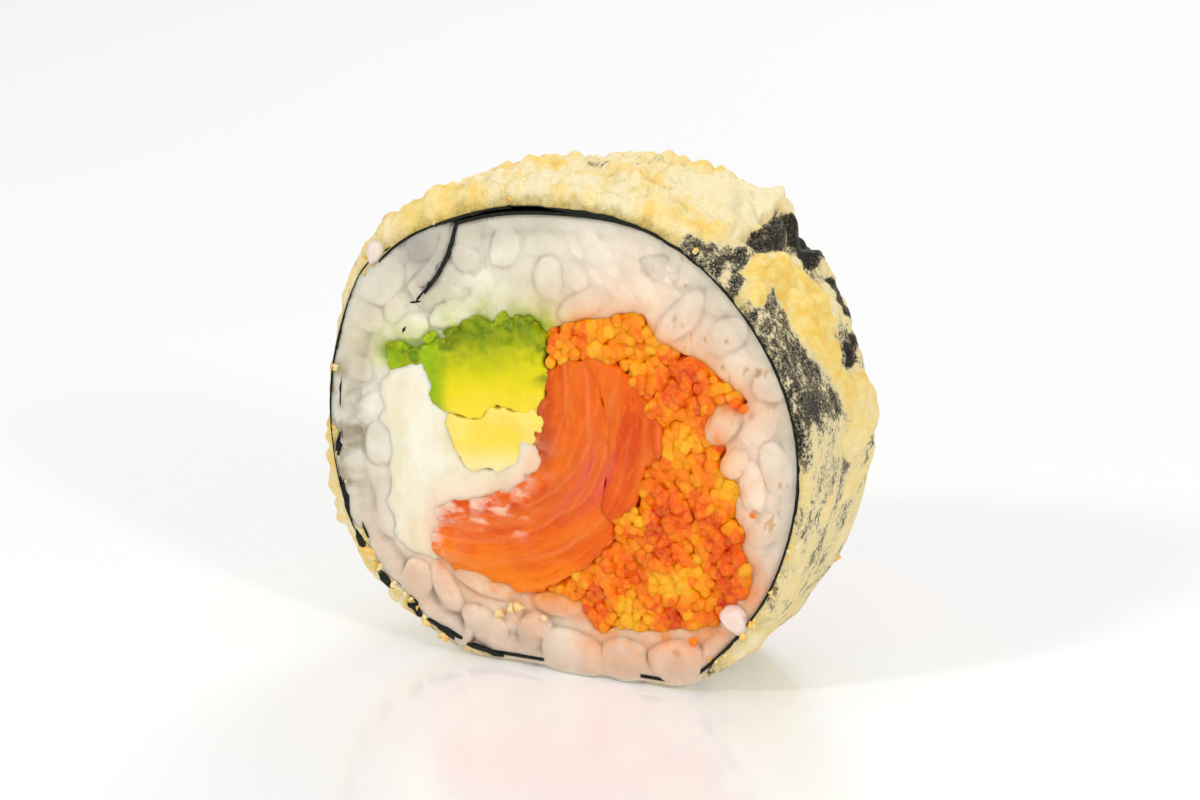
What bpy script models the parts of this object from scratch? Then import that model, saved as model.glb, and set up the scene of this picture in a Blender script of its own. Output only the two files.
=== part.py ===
"""A slice of fried sushi roll, resting on its rounded side with both cut faces upright.

X runs across the cut face, Y along the roll's axis from the front cut to the back cut, and Z is up.
The origin is on the table, under the middle of the slice. Outlines are drawn on the front cut face,
in millimetres, from the middle of the flat stretch on which the rolled core rests.
"""

import math

import bmesh
import bpy
from mathutils import Vector, noise

MM = 0.001

# Driving sizes, in metres.
SLICE_LENGTH = 18.0 * MM
NORI_THICKNESS = 0.35 * MM
FILM_THICKNESS = 0.40 * MM
THICKEST_BATTER = 4.0 * MM
GAP = 0.30 * MM

# How far each piece stops short of the crust's cut plane, in metres.
RICE_RECESS = 0.15 * MM
FILLING_RECESS = 0.10 * MM
NORI_RECESS = 0.05 * MM

# The core sits on the nori and the batter under it. The shift centres the slice with its batter.
CORE_HEIGHT = FILM_THICKNESS + GAP + NORI_THICKNESS
CORE_SHIFT = 0.25 * MM
CORE_MIDDLE = (0.0, 23.4)

# Outline of the rolled core, at the inner face of the nori. Each outline runs clockwise from the left.
CORE = [
    (-25.5, 18.5), (-25.4, 28.7), (-21.0, 39.5), (-12.3, 44.8), (-2.6, 46.8), (8.8, 45.7), (17.7, 40.0),
    (23.7, 31.0), (25.2, 21.3), (22.4, 10.8), (16.3, 2.6), (11.6, 0.0), (0.5, -0.6), (-10.5, 0.0),
    (-15.8, 3.0), (-22.3, 9.2),
]

# The end of the nori sheet that dips into the rice, from its tip up, as the sheet's middle. From the
# flap's root the sheet runs once round the core and on over its own start, counted in steps of the ring.
NORI_FLAP = [(-15.9, 36.9), (-14.3, 38.9), (-13.2, 40.9), (-12.6, 42.6)]
FLAP_ROOT = (-12.3, 44.8)
OVERLAP_STEPS = 5
OVERLAP_BLEND = (5, 17)

# The fillings. Neighbours overlap here, and each one listed is cut by those before it.
AVOCADO_UPPER = [
    (-20.4, 29.6), (-19.7, 30.9), (-17.2, 30.6), (-14.6, 31.4), (-12.9, 31.9), (-12.2, 33.6), (-9.7, 34.4),
    (-6.7, 34.2), (-4.4, 35.2), (-3.0, 34.4), (-2.3, 32.8), (-2.3, 29.6), (-2.6, 26.8), (-3.5, 25.4),
    (-6.1, 25.8), (-8.6, 26.0), (-9.8, 24.6), (-12.3, 24.6), (-14.6, 25.7), (-15.5, 27.8), (-16.1, 29.4),
    (-17.6, 29.4), (-19.2, 28.6),
]
AVOCADO_LOWER = [
    (-13.4, 24.3), (-9.5, 25.2), (-6.1, 26.2), (-3.2, 25.4), (-3.2, 23.9), (-3.8, 22.2), (-5.8, 19.9),
    (-8.6, 19.3), (-11.1, 19.1), (-12.7, 21.4),
]
SALMON_INNER = [
    (-3.2, 24.0), (-2.4, 29.4), (-0.5, 30.8), (1.4, 31.5), (2.8, 30.9), (3.8, 27.9), (4.5, 24.0), (4.5, 20.0),
    (3.9, 16.8), (4.8, 15.0), (4.6, 13.2), (2.6, 11.1), (0.3, 9.4), (-2.0, 7.9), (-4.6, 7.2), (-7.8, 7.2),
    (-10.8, 7.8), (-13.5, 8.6), (-15.0, 10.1), (-15.2, 12.6), (-14.4, 14.4), (-11.6, 15.3), (-8.6, 16.4),
    (-5.6, 18.2), (-4.0, 20.8),
]
SALMON_OUTER = [
    (1.9, 31.2), (3.1, 31.8), (4.9, 31.3), (7.2, 29.6), (8.6, 27.2), (10.2, 25.7), (10.3, 23.7), (8.6, 21.7),
    (8.1, 19.6), (7.5, 17.6), (6.0, 16.6), (4.6, 15.6), (3.4, 17.0), (4.1, 20.0), (4.1, 24.0), (3.2, 28.0),
]
CREAM_CHEESE = [
    (-19.8, 27.8), (-18.7, 28.6), (-16.5, 30.0), (-14.4, 28.4), (-12.6, 24.4), (-11.8, 20.0), (-8.0, 20.0),
    (-4.9, 21.6), (-4.3, 20.4), (-6.4, 17.6), (-11.0, 14.8), (-13.8, 13.4), (-14.2, 10.6), (-16.6, 9.2),
    (-18.6, 9.8), (-19.7, 12.3), (-20.0, 15.8), (-20.1, 19.8), (-20.6, 23.6), (-20.7, 26.0),
]
FISH_ROE = [
    (-3.2, 31.6), (-2.0, 34.1), (-0.6, 34.9), (2.0, 35.7), (4.0, 35.8), (5.8, 36.7), (8.2, 36.8), (8.9, 35.3),
    (12.0, 33.6), (14.9, 32.7), (17.1, 31.0), (19.4, 29.5), (18.0, 28.6), (16.0, 27.6), (16.7, 25.6),
    (17.2, 24.0), (16.8, 22.2), (18.9, 20.7), (18.2, 18.9), (18.4, 17.3), (19.3, 16.0), (19.0, 14.6),
    (19.7, 12.6), (19.6, 10.6), (18.6, 9.2), (18.0, 7.4), (15.6, 6.0), (12.6, 5.3), (9.3, 4.5), (5.9, 4.5),
    (3.6, 3.6), (2.4, 4.7), (1.6, 6.4), (-1.0, 6.7), (-3.4, 6.2), (-2.0, 9.0), (3.0, 14.0), (7.0, 19.0),
    (8.0, 25.0), (4.0, 30.0), (0.0, 29.6),
]

# Thick places in the batter: clock angle from the top in degrees, depth from the front cut in mm,
# half width in degrees, half width in mm, and height over the film in mm.
BATTER_LUMPS = [
    (-14, 2.0, 24, 5.4, 1.3),
    (5, 11.0, 28, 9.5, 1.9),
    (33, 12.5, 13, 7.2, 2.2),
    (16, 4.0, 14, 4.8, 0.9),
    (47, 5.5, 6, 3.8, 1.0),
    (59, 13.0, 13, 8.4, 1.2),
    (77, 12.6, 11, 3.6, 1.0),
    (90, 15.2, 8, 4.1, 0.8),
    (112, 9.0, 12, 4.8, 0.3),
    (138, 3.0, 12, 4.8, 0.5),
    (222, 2.6, 11, 4.3, 1.0),
    (228, 13.0, 17, 6.0, 0.8),
    (252, 3.5, 16, 6.0, 1.8),
    (300, 3.0, 26, 6.0, 0.7),
    (285, 14.0, 22, 5.4, 0.9),
    (323, 10.0, 12, 6.0, 0.9),
]
RIPPLE_HEIGHT = 0.30 * MM
RIPPLE_SIZE = 5.0 * MM
RIPPLE_OCTAVES = 3

# The batter is level under the slice and reaches its full unevenness this far above the rest.
CLEAR_OF_REST = 5.0 * MM

STEPS_PER_SPAN = 3
CORE_STEPS = 96
DEPTH_STEPS = 8


def clear_scene():
    for obj in list(bpy.data.objects):
        bpy.data.objects.remove(obj)


def new_collection(name):
    made = bpy.data.collections.new(name)
    bpy.context.scene.collection.children.link(made)
    return made


def surface(name, colour, roughness):
    """A plain material of one colour."""
    made = bpy.data.materials.new(name)
    made.use_nodes = True
    shader = made.node_tree.nodes["Principled BSDF"]
    shader.inputs["Base Color"].default_value = (*colour, 1.0)
    shader.inputs["Roughness"].default_value = roughness
    shader.inputs["Metallic"].default_value = 0.0
    return made


def placed(point):
    """A point of an outline, in metres on the cut face, with its height taken from the table."""
    x, z = point
    return Vector((x * MM + CORE_SHIFT, z * MM + CORE_HEIGHT))


def smooth_step(value, low, high):
    share = min(1.0, max(0.0, (value - low) / (high - low)))
    return share * share * (3 - 2 * share)


def smooth_loop(points, steps):
    """A closed Catmull-Rom curve through the points."""
    count = len(points)
    made = []
    for i in range(count):
        a, b, c, d = (points[(i + k - 1) % count] for k in range(4))
        for step in range(steps):
            t = step / steps
            bend = (2 * a - 5 * b + 4 * c - d) * t**2 + (3 * b - a - 3 * c + d) * t**3
            made.append(0.5 * (2 * b + (c - a) * t + bend))
    return made


def evenly_spaced(loop, count):
    """Points at equal distances along a closed loop, from the loop's first point."""
    ends = loop[1:] + loop[:1]
    lengths = [(b - a).length for a, b in zip(loop, ends)]
    spacing = sum(lengths) / count
    made = []
    i, passed = 0, 0.0
    for k in range(count):
        while passed + lengths[i] < k * spacing:
            passed += lengths[i]
            i += 1
        made.append(loop[i].lerp(ends[i], (k * spacing - passed) / lengths[i]))
    return made


def outward(loop, i):
    """The outward normal of a clockwise closed loop at its point i."""
    along = loop[(i + 1) % len(loop)] - loop[i - 1]
    return Vector((-along.y, along.x)).normalized()


def bends(loop, i):
    """Whether a closed loop turns at its point i. A straight point in a filled outline spoils its caps."""
    before = (loop[i] - loop[i - 1]).normalized()
    after = (loop[(i + 1) % len(loop)] - loop[i]).normalized()
    return (after - before).length > 0.002


def core_loop():
    """The core's outline, cut flat where it rests, clockwise from the root of the nori's flap."""
    loop = smooth_loop([placed(point) for point in CORE], STEPS_PER_SPAN * 3)
    loop = [Vector((p.x, max(p.y, CORE_HEIGHT))) for p in loop]
    start = min(range(len(loop)), key=lambda i: (loop[i] - placed(FLAP_ROOT)).length)
    return evenly_spaced(loop[start:] + loop[:start], CORE_STEPS)


def outline_curve(name, loop, half_length, grown=0.0, closed=True):
    """A curve object of the outline, extruded along Y. Its own X and Y are the cut face's X and Z."""
    data = bpy.data.curves.new(name, "CURVE")
    data.dimensions = "2D"
    data.fill_mode = "BOTH" if closed else "NONE"
    data.extrude = half_length
    data.offset = grown
    spline = data.splines.new("POLY")
    spline.points.add(len(loop) - 1)
    for point, place in zip(spline.points, loop):
        point.co = (place.x, place.y, 0.0, 1.0)
    spline.use_cyclic_u = closed
    obj = bpy.data.objects.new(name, data)
    obj.rotation_euler.x = math.pi / 2
    return obj


def as_mesh(curve, collection):
    """The curve object made a mesh object, with its caps welded."""
    bpy.context.scene.collection.objects.link(curve)
    bpy.context.view_layer.update()
    evaluated = curve.evaluated_get(bpy.context.evaluated_depsgraph_get())
    mesh = bpy.data.meshes.new_from_object(evaluated)
    shape = bmesh.new()
    shape.from_mesh(mesh)
    bmesh.ops.remove_doubles(shape, verts=shape.verts, dist=0.01 * MM)
    bmesh.ops.recalc_face_normals(shape, faces=shape.faces)
    shape.to_mesh(mesh)
    shape.free()
    name = curve.name
    matrix = curve.matrix_world.copy()
    bpy.data.objects.remove(curve)
    made = bpy.data.objects.new(name, mesh)
    made.matrix_world = matrix
    collection.objects.link(made)
    return made


def finish_part(obj, look):
    obj.data.materials.append(look)
    obj.data.shade_smooth()
    obj.data.set_sharp_from_angle(angle=math.radians(40))


def make_cutter(obj):
    obj.hide_render = True
    obj.display_type = "WIRE"
    return obj


def add_cuts(obj, cutters):
    for cutter in cutters:
        cut = obj.modifiers.new("cut_for_" + cutter.name, "BOOLEAN")
        cut.operation = "DIFFERENCE"
        cut.solver = "EXACT"
        cut.object = cutter


def add_sheet_thickness(obj, thickness):
    shell = obj.modifiers.new("sheet_thickness", "SOLIDIFY")
    shell.thickness = thickness
    shell.offset = 0.0
    shell.use_even_offset = True


def new_filling(name, points, parts, cut_by, look):
    """A filling that runs through the slice, without what lies in its neighbours' rooms."""
    loop = smooth_loop([placed(point) for point in points], STEPS_PER_SPAN)
    made = as_mesh(outline_curve(name, loop, SLICE_LENGTH / 2 - FILLING_RECESS), parts)
    finish_part(made, look)
    add_cuts(made, cut_by)


def new_room(name, points, cutters):
    """The space a filling takes up in its neighbours: its outline with the gap all round."""
    loop = smooth_loop([placed(point) for point in points], STEPS_PER_SPAN)
    return make_cutter(as_mesh(outline_curve(name + "_room", loop, SLICE_LENGTH, grown=GAP), cutters))


def first_layer_inset(i):
    """How far the nori's first stretch sinks into the rice, to leave room for the overlap."""
    return (NORI_THICKNESS + GAP) * (1 - smooth_step(i, *OVERLAP_BLEND))


def new_nori(core, parts, look):
    """The sheet of nori, as one ribbon: up the flap, round the core, and on over its own start."""
    middle = NORI_THICKNESS / 2
    flap = [placed(point) for point in NORI_FLAP]
    ring = [place + outward(core, i) * (middle - first_layer_inset(i)) for i, place in enumerate(core)]
    overlap = [place + outward(core, i) * middle for i, place in enumerate(core[:OVERLAP_STEPS])]
    ribbon = outline_curve(
        "nori_sheet", flap + ring + overlap, SLICE_LENGTH / 2 - NORI_RECESS, closed=False
    )
    made = as_mesh(ribbon, parts)
    finish_part(made, look)
    add_sheet_thickness(made, NORI_THICKNESS)


def new_flap_room(core, cutters):
    """The slit that the nori's flap needs in the rice."""
    flap = [placed(point) for point in NORI_FLAP]
    below = flap[0] + (flap[0] - flap[1]).normalized() * GAP
    above = core[0] + outward(core, 0) * GAP
    slit = outline_curve("flap_room", [below, *flap, above], SLICE_LENGTH, closed=False)
    made = as_mesh(slit, cutters)
    add_sheet_thickness(made, NORI_THICKNESS + 2 * GAP)
    return make_cutter(made)


def new_rice(core, parts, cut_by, look):
    """The rice as one mass, hollowed for the fillings and slit for the nori's flap."""
    inside = [place - outward(core, i) * (GAP + first_layer_inset(i)) for i, place in enumerate(core)]
    inside = [place for i, place in enumerate(inside) if bends(inside, i)]
    made = as_mesh(outline_curve("rice", inside, SLICE_LENGTH / 2 - RICE_RECESS), parts)
    finish_part(made, look)
    add_cuts(made, cut_by)


def batter_thickness(place, depth):
    """How thick the batter is over the nori, thin and level where the slice rests."""
    from_middle = place - placed(CORE_MIDDLE)
    clock = math.degrees(math.atan2(from_middle.x, from_middle.y))
    height = 0.0
    for lump_clock, lump_depth, half_angle, half_depth, lump_height in BATTER_LUMPS:
        turn = (clock - lump_clock + 180) % 360 - 180
        reach = (turn / half_angle) ** 2 + ((depth / MM - lump_depth) / half_depth) ** 2
        height += lump_height * MM * math.exp(-reach)
    ripple = noise.fractal(Vector((place.x, depth, place.y)) / RIPPLE_SIZE, 1.0, 2.0, RIPPLE_OCTAVES)
    height += RIPPLE_HEIGHT * (1 + ripple)
    height *= smooth_step(place.y, CORE_HEIGHT, CORE_HEIGHT + CLEAR_OF_REST)
    return min(FILM_THICKNESS + height, THICKEST_BATTER)


def new_batter(core, parts, look):
    """The crust: an open tube round the nori, thickened outward by the batter's own thickness."""
    tube = bmesh.new()
    bmesh.ops.create_cone(tube, cap_ends=False, segments=CORE_STEPS, radius1=1.0, radius2=1.0, depth=2.0)
    lengthwise = [edge for edge in tube.edges if abs(edge.verts[0].co.z - edge.verts[1].co.z) > 1.0]
    bmesh.ops.subdivide_edges(tube, edges=lengthwise, cuts=DEPTH_STEPS - 1, use_grid_fill=True)
    shares = []
    for vert in tube.verts:
        turn = math.atan2(vert.co.x, vert.co.y) % math.tau
        i = round(turn / math.tau * CORE_STEPS) % CORE_STEPS
        depth = (vert.co.z + 1.0) / 2 * SLICE_LENGTH
        inner = core[i] + outward(core, i) * (NORI_THICKNESS + GAP)
        shares.append(batter_thickness(core[i], depth) / THICKEST_BATTER)
        vert.co = (inner.x, depth - SLICE_LENGTH / 2, inner.y)
    bmesh.ops.reverse_faces(tube, faces=tube.faces)
    mesh = bpy.data.meshes.new("batter_crust")
    tube.to_mesh(mesh)
    tube.free()
    made = bpy.data.objects.new("batter_crust", mesh)
    parts.objects.link(made)
    finish_part(made, look)
    thickness = made.vertex_groups.new(name="batter_thickness")
    for index, share in enumerate(shares):
        thickness.add([index], share, "REPLACE")
    shell = made.modifiers.new("batter", "SOLIDIFY")
    shell.thickness = THICKEST_BATTER
    shell.offset = 1.0
    shell.vertex_group = thickness.name


def main():
    clear_scene()
    parts = new_collection("fried_sushi_roll")
    cutters = new_collection("cutters")
    core = core_loop()
    avocado = surface("avocado_flesh", (0.62, 0.66, 0.06), 0.45)
    salmon = surface("salmon_flesh", (0.82, 0.20, 0.03), 0.35)
    cheese = surface("cream_cheese", (0.93, 0.90, 0.82), 0.50)
    roe = surface("fish_roe", (0.95, 0.36, 0.02), 0.30)

    new_batter(core, parts, surface("fried_batter", (0.86, 0.70, 0.36), 0.75))
    new_nori(core, parts, surface("nori", (0.035, 0.040, 0.030), 0.60))
    rooms = []
    for name, points, look in (
        ("avocado_upper", AVOCADO_UPPER, avocado),
        ("avocado_lower", AVOCADO_LOWER, avocado),
        ("salmon_inner", SALMON_INNER, salmon),
        ("salmon_outer", SALMON_OUTER, salmon),
        ("cream_cheese", CREAM_CHEESE, cheese),
        ("fish_roe", FISH_ROE, roe),
    ):
        new_filling(name, points, parts, rooms, look)
        rooms.append(new_room(name, points, cutters))
    rooms.append(new_flap_room(core, cutters))
    new_rice(core, parts, rooms, surface("rice", (0.86, 0.83, 0.76), 0.50))


main()
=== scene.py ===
"""Looks of a fried sushi roll slice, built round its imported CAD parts.

Lengths are in millimetres and become metres when a piece is put in place. The cut that the photo shows
faces -Y. A clock angle is in degrees, clockwise from the top as seen from the front. A depth is in mm,
measured back from the front cut.
"""

import math
from itertools import product

import bmesh
import bpy
import numpy as np
from mathutils import Matrix, Vector
from mathutils.bvhtree import BVHTree
from mathutils.kdtree import KDTree


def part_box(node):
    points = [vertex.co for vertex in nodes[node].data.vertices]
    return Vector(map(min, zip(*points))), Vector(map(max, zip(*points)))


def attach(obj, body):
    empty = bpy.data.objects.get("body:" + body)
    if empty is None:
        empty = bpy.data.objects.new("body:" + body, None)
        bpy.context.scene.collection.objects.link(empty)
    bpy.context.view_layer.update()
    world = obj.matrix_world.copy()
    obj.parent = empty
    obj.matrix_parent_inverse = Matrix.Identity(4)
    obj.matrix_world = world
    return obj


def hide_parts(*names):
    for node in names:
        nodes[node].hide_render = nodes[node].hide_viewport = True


MM = 0.001

# The slice: half its length along the roll, its middle as (x, z), and the crust's unrolled width per degree
HALF_LENGTH = 9.0
ROLL_MIDDLE = (0.25, 24.45)
MM_PER_DEGREE = 0.44

# The camera, fitted to the photo. It aims FRAME_RIGHT and FRAME_UP mm beside the front cut's middle.
AZIMUTH = 26.4
ELEVATION = 15.0
LENS = 100.0
SENSOR = 36.0
DISTANCE = 333.3
FACE_MIDDLE = (0.25, -9.0, 24.5)
FRAME_RIGHT = 3.6
FRAME_UP = 4.0

# The studio. The floor lies a little low, because the crust's relief reaches below the CAD's lowest point.
WALL_LIGHT = 0.7
CEILING_LIGHT = 0.45
FLOOR_REACH = 4000
FLOOR_DROP = 0.2
FLOOR_COLOUR = np.array([0.77, 0.775, 0.77])
FLOOR_GLOW = 0.18
FLOOR_ROUGHNESS = 0.14
# Name, place in metres, size in metres, power in watts
LAMPS = (
    ("key", (-0.25, -0.5, 0.45), 0.09, 1.3),
    ("side", (0.5, -0.3, 0.3), 0.1, 1.3),
    ("back", (-0.1, 0.6, 0.5), 0.3, 1.6),
    ("top", (0.0, 0.0, 0.8), 0.5, 1.0),
)
LAMP_AIM = (0, 0, 0.025)

# Half the distance in mm over which the slope of a region's depth is measured, as (x, z)
SLOPE_STEPS = ([0.3, 0], [0, 0.3])

# Cooked rice. A grain's front is flattened over GRAIN_CLAMP mm. GRAIN_CLOSENESS says, layer by layer,
# how far apart two of them keep their middle lines, as a share of their radii.
GRAIN_LENGTH = (6.0, 7.8)
GRAIN_WIDTH = (2.7, 3.4)
GRAIN_TILTS = ((0.0, 0.4), (0.0, 0.5), (0.0, 0.6), (0.6, 1.2))
GRAIN_CLAMP = 0.6
GRAIN_TRIES = 5000
GRAIN_CLOSENESS = (0.8, 0.62, 0.46)
RICE_CELL = 0.22
RICE_TRIANGLES = 185000
RICE_INSET = 0.85
RICE_SWELL = 0.25
FLAP_SWELL = 0.2
# Up to this far from the middle of the slice the rice and the roe are hidden and get larger triangles
RICE_HIDDEN = 5.6
ROE_HIDDEN = 5.8
# The sheet's inner end, which the rice presses from both sides
FLAP_MIDDLE = (-14.6, 41.0)
FLAP_REACH = (4.0, 5.5)
# Grains that the photo shows one by one: x, z, length, width, angle in degrees, depth of the flattened front
MARKED_GRAINS = (
    (0.9, 2.6, 7.3, 3.6, -8, -0.1),
    (-9.0, 3.4, 6.2, 3.0, -24, -0.05),
    (-3.6, 4.0, 4.4, 3.2, 20, -0.05),
    (6.8, 2.6, 5.6, 3.0, 4, -0.05),
    (12.4, 3.4, 5.8, 3.2, 14, -0.1),
    (-9.2, 7.8, 7.4, 2.8, -14, 0.1),
    (-0.9, 6.7, 5.6, 2.7, -6, 0.1),
    (-21.2, 21.6, 5.2, 4.4, 80, -0.1),
    (-20.3, 38.4, 5.4, 3.0, 62, 0.0),
    (-15.8, 43.2, 5.4, 3.2, 60, 0.05),
    (17.2, 28.0, 4.6, 3.2, 60, -0.2),
    (20.4, 22.0, 5.6, 2.9, 96, 0.0),
)

# Fillings
CHEESE_CORNER = (-3.9, 21.9)
CHEESE_CORNER_RADIUS = 1.5
AVOCADO_RAGGED = 0.9
# Heights on the upper avocado piece, and its colours from the inside to the skin
AVOCADO_HEIGHTS = (25.5, 29.0, 31.5, 34.0, 36.5)
AVOCADO_SHADES = ((250, 226, 80), (238, 216, 30), (214, 208, 0), (168, 180, 0), (104, 136, 0))
# The line that the salmon's fold follows, as (x, z) from its top right to its lower left
SALMON_SPINE = np.array(
    [(5.2, 34.0), (5.3, 30.5), (5.2, 27.5), (4.8, 24.5), (4.0, 21.7), (2.8, 19.2)]
    + [(1.0, 17.0), (-1.2, 15.2), (-3.8, 13.9), (-6.8, 13.0), (-10.5, 12.5), (-15.0, 12.4)]
)
# The fillings that stain the rice
OILY = ("fish_roe", "salmon_inner", "salmon_outer")

# The nori's torn edge: its points round the roll, and how far inside the crust's inner outline it lies
NORI_COLUMNS = 760
NORI_INSET = 0.4

# Fish roe: the eggs' radii, their distance within a layer and between layers, and their colours
EGG_RADIUS = (0.28, 0.56)
EGG_PITCH = 0.82
EGG_LAYER = 0.6
EGG_CELL = 0.14
EGG_SHADES = ((255, 184, 30), (255, 154, 4), (250, 122, 0), (238, 82, 0), (208, 38, 0))
ROE_INSET = 1.9
ROE_SWELL = 0.2
ROE_TRIANGLES = 190000

# How far from the middle of the slice loose things may reach along the roll
MOST_FORWARD = 9.5
# Loose grains that the photo shows: x, y, z, length, width, angle in degrees, colour
LOOSE_GRAINS = (
    (-21.3, -8.4, 41.7, 3.4, 2.5, 55, (246, 226, 210)),
    (19.3, -8.3, 8.1, 4.0, 3.0, -42, (250, 222, 210)),
)
# Loose eggs: x, y, z, size, colour
LOOSE_EGGS = (
    (20.0, -8.6, 13.5, 2.1, (255, 168, 30)),
    (18.9, -8.8, 30.4, 1.5, (250, 96, 20)),
    (19.8, -8.95, 30.0, 1.1, (255, 120, 30)),
    (20.9, -9.0, 19.4, 0.8, (255, 120, 30)),
    (14.6, -9.0, 5.4, 0.9, (255, 130, 20)),
    (16.5, -9.0, 3.9, 0.7, (255, 170, 60)),
)
# Crumbs along the rims: first and last clock angle, how many, the largest size, and the furthest out; each
# lies at one of CRUMB_PLACES even places round the roll
CRUMB_PLACES = 720
CRUMB_STRIPS = (
    (-150, -122, 46, 1.2, 0.6),
    (-122, -75, 26, 0.8, 0.4),
    (-60, 40, 30, 0.9, 1.0),
    (104, 142, 22, 0.9, 0.0),
)
# Crumbs among the bottom grains: x, z, size
BOTTOM_CRUMBS = (
    (-6.0, 5.8, 1.3),
    (-5.2, 6.1, 1.1),
    (-2.2, 5.2, 0.9),
    (-7.4, 5.0, 0.9),
)
# Bits of avocado among the grains: x, z, size, colour
AVOCADO_BITS = (
    (-7.0, 36.0, 1.9, (128, 160, 0)),
    (-4.2, 36.0, 1.7, (104, 138, 0)),
    (-9.4, 35.0, 1.9, (100, 132, 0)),
    (-12.4, 33.8, 1.9, (92, 124, 0)),
    (-15.0, 33.2, 1.6, (150, 184, 10)),
)
# Bits of nori: x, z, length, width, angle in degrees
NORI_BITS = (
    (-25.9, 20.8, 2.8, 0.55, 85),
    (-25.2, 15.4, 4.4, 0.7, 102),
    (-23.2, 10.4, 3.2, 0.7, 125),
    (-20.5, 6.9, 2.8, 0.8, 135),
    (-17.2, 4.5, 2.6, 1.3, 130),
    (-13.4, 2.3, 5.0, 0.9, 155),
    (-9.0, 1.0, 4.6, 0.7, 168),
    (-16.0, 37.6, 1.6, 0.24, 50),
    (-16.6, 36.9, 1.2, 0.2, 15),
    (-15.2, 38.6, 1.0, 0.2, 70),
    (-17.9, 33.9, 0.7, 0.3, 60),
)

# Crust: its grid, how far it reaches inside its inner outline, and the first row's depth
CRUST_COLUMNS = 840
CRUST_ROWS = 84
RIM_ROWS = 8
CRUST_INSET = 0.42
FIRST_ROW = 0.38
THINNEST_CRUST = 0.14
# Rays from RAY_START mm outside measure how thick the CAD crust is; where one misses, it is RAY_MISSED
RAY_START = 12
RAY_MISSED = 0.4
# Parts of the crust that the photo shows, as outlines of (clock angle, depth)
DRIP = [
    *[(44.5, 1.4), (42.5, 4.6), (45.5, 9.6), (48.5, 11.8), (52, 12.8), (58, 12.0), (64, 11.0), (68, 12.4)],
    *[(72, 11.6), (74, 12.6), (75, 15.7), (78, 17.2), (80, 18.8), (88, 18.8), (90, 16.5), (91.5, 13.5)],
    *[(95, 11.5), (89.5, 9.2), (86, 10.2), (81.5, 10.2), (77, 9.2), (73, 8.0), (67, 5.6), (63, 4.6)],
    *[(58, 4.8), (55, 4.4), (51, 5.2), (48, 1.8)],
]
BLOB = [(48, 0.8), (48.5, 2.5), (50.5, 4.0), (53, 2.3), (53, 0.4), (50, 0.2)]
BARE = [
    *[(41.5, 4.4), (38.0, 7.8), (38.0, 11), (39.5, 14), (42, 18.8)],
    *[(49, 18.8), (48.5, 14), (46.5, 12), (45, 9), (43.5, 6.5)],
]
SPECKLED = [(38, 17.0), (41, 19.5), (50, 19.5), (53, 16.5), (51, 13.0), (46, 12.0), (43, 16.0)]
RIM_DUST = [
    *[(28, -1), (30, 0.6), (34, 1.8), (38, 4.4), (42, 5.4)],
    *[(44.5, 4.0), (47, 1.6), (48, 0.8), (50, -1)],
]
DARK = [
    *[(49, -1), (49.5, 3), (51, 5.0), (55, 4.6), (59, 5.0), (64, 4.8), (68, 6.0), (74, 8.3)],
    *[(78, 9.6), (82.5, 10.4), (83, 7), (80, 4), (80, 2.0), (87, 1.2), (92, -1)],
]
TORN = [
    *[(54, 15.6), (59, 16.0), (62, 15.0), (66, 16.6), (69, 14.2), (74, 13.0)],
    *[(75, 14.6), (70, 16.4), (66, 18.2), (62, 16.6), (58, 17.4), (54, 17.0)],
]
TOP_HOLLOW = [(-16, 8.0), (0, 7.0), (14, 8.0), (16, 12.5), (0, 14.0), (-14, 13.0)]


def mixed(a, b, share):
    """a where share is 0, b where it is 1."""
    return a + (b - a) * share


def smooth_step(x):
    x = np.clip(x, 0.0, 1.0)
    return x * x * (3 - 2 * x)


def band(x, start, rise, end, fall):
    """1 between start and end, with soft ramps that are rise and fall wide inside them; 0 outside."""
    return smooth_step((x - start) / rise) * smooth_step((end - x) / fall)


def bell(x, middle, width):
    """1 at the middle, falling off smoothly over width."""
    return np.exp(-(((x - middle) / width) ** 2))


def linear(*rgb):
    """A colour as the eye reads it, 0 to 255, as the linear values that a shader takes."""
    c = np.array(rgb, float) / 255
    return np.where(c <= 0.04045, c / 12.92, ((c + 0.055) / 1.055) ** 2.4)


def tinted(colour, rgb, amount, most=1.0):
    """Linear colours moved to rgb, which is 0 to 255, by each point's amount, held between 0 and most."""
    return mixed(colour, linear(*rgb), np.clip(amount, 0, most)[:, None])


def blended(shades, at):
    """A colour for each value of at, which counts along the shades from 0; the shades are 0 to 255."""
    table = np.array([linear(*shade) for shade in shades])
    return np.column_stack([np.interp(at, range(len(shades)), table[:, k]) for k in range(3)])


def lattice_noise(points, size, seed):
    """Smooth noise from -1 to 1 whose waves are size mm long."""
    p = np.asarray(points, float) / size
    cell = np.floor(p).astype(np.int64)
    f = p - cell
    f = f * f * f * (f * (f * 6 - 15) + 10)
    total = np.zeros(len(p))
    for corner in product((0, 1), repeat=3):
        c = cell + corner
        h = c[:, 0] * 73856093 ^ c[:, 1] * 19349663 ^ c[:, 2] * 83492791 ^ seed * 2654435761
        h = (h ^ (h >> 13)) * 1274126177
        h = (h ^ (h >> 16)) & 0xFFFFFF
        weight = np.prod(np.where(corner, f, 1 - f), axis=1)
        total += weight * (h / 0x7FFFFF - 1)
    return total


def fractal(points, size, octaves, seed):
    """Noise from about -1 to 1 with octaves of detail, the largest size mm long."""
    total = np.zeros(len(points))
    for k in range(octaves):
        total += lattice_noise(points, size / 2**k, seed + 31 * k) / 2**k
    return total / 1.5


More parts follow.
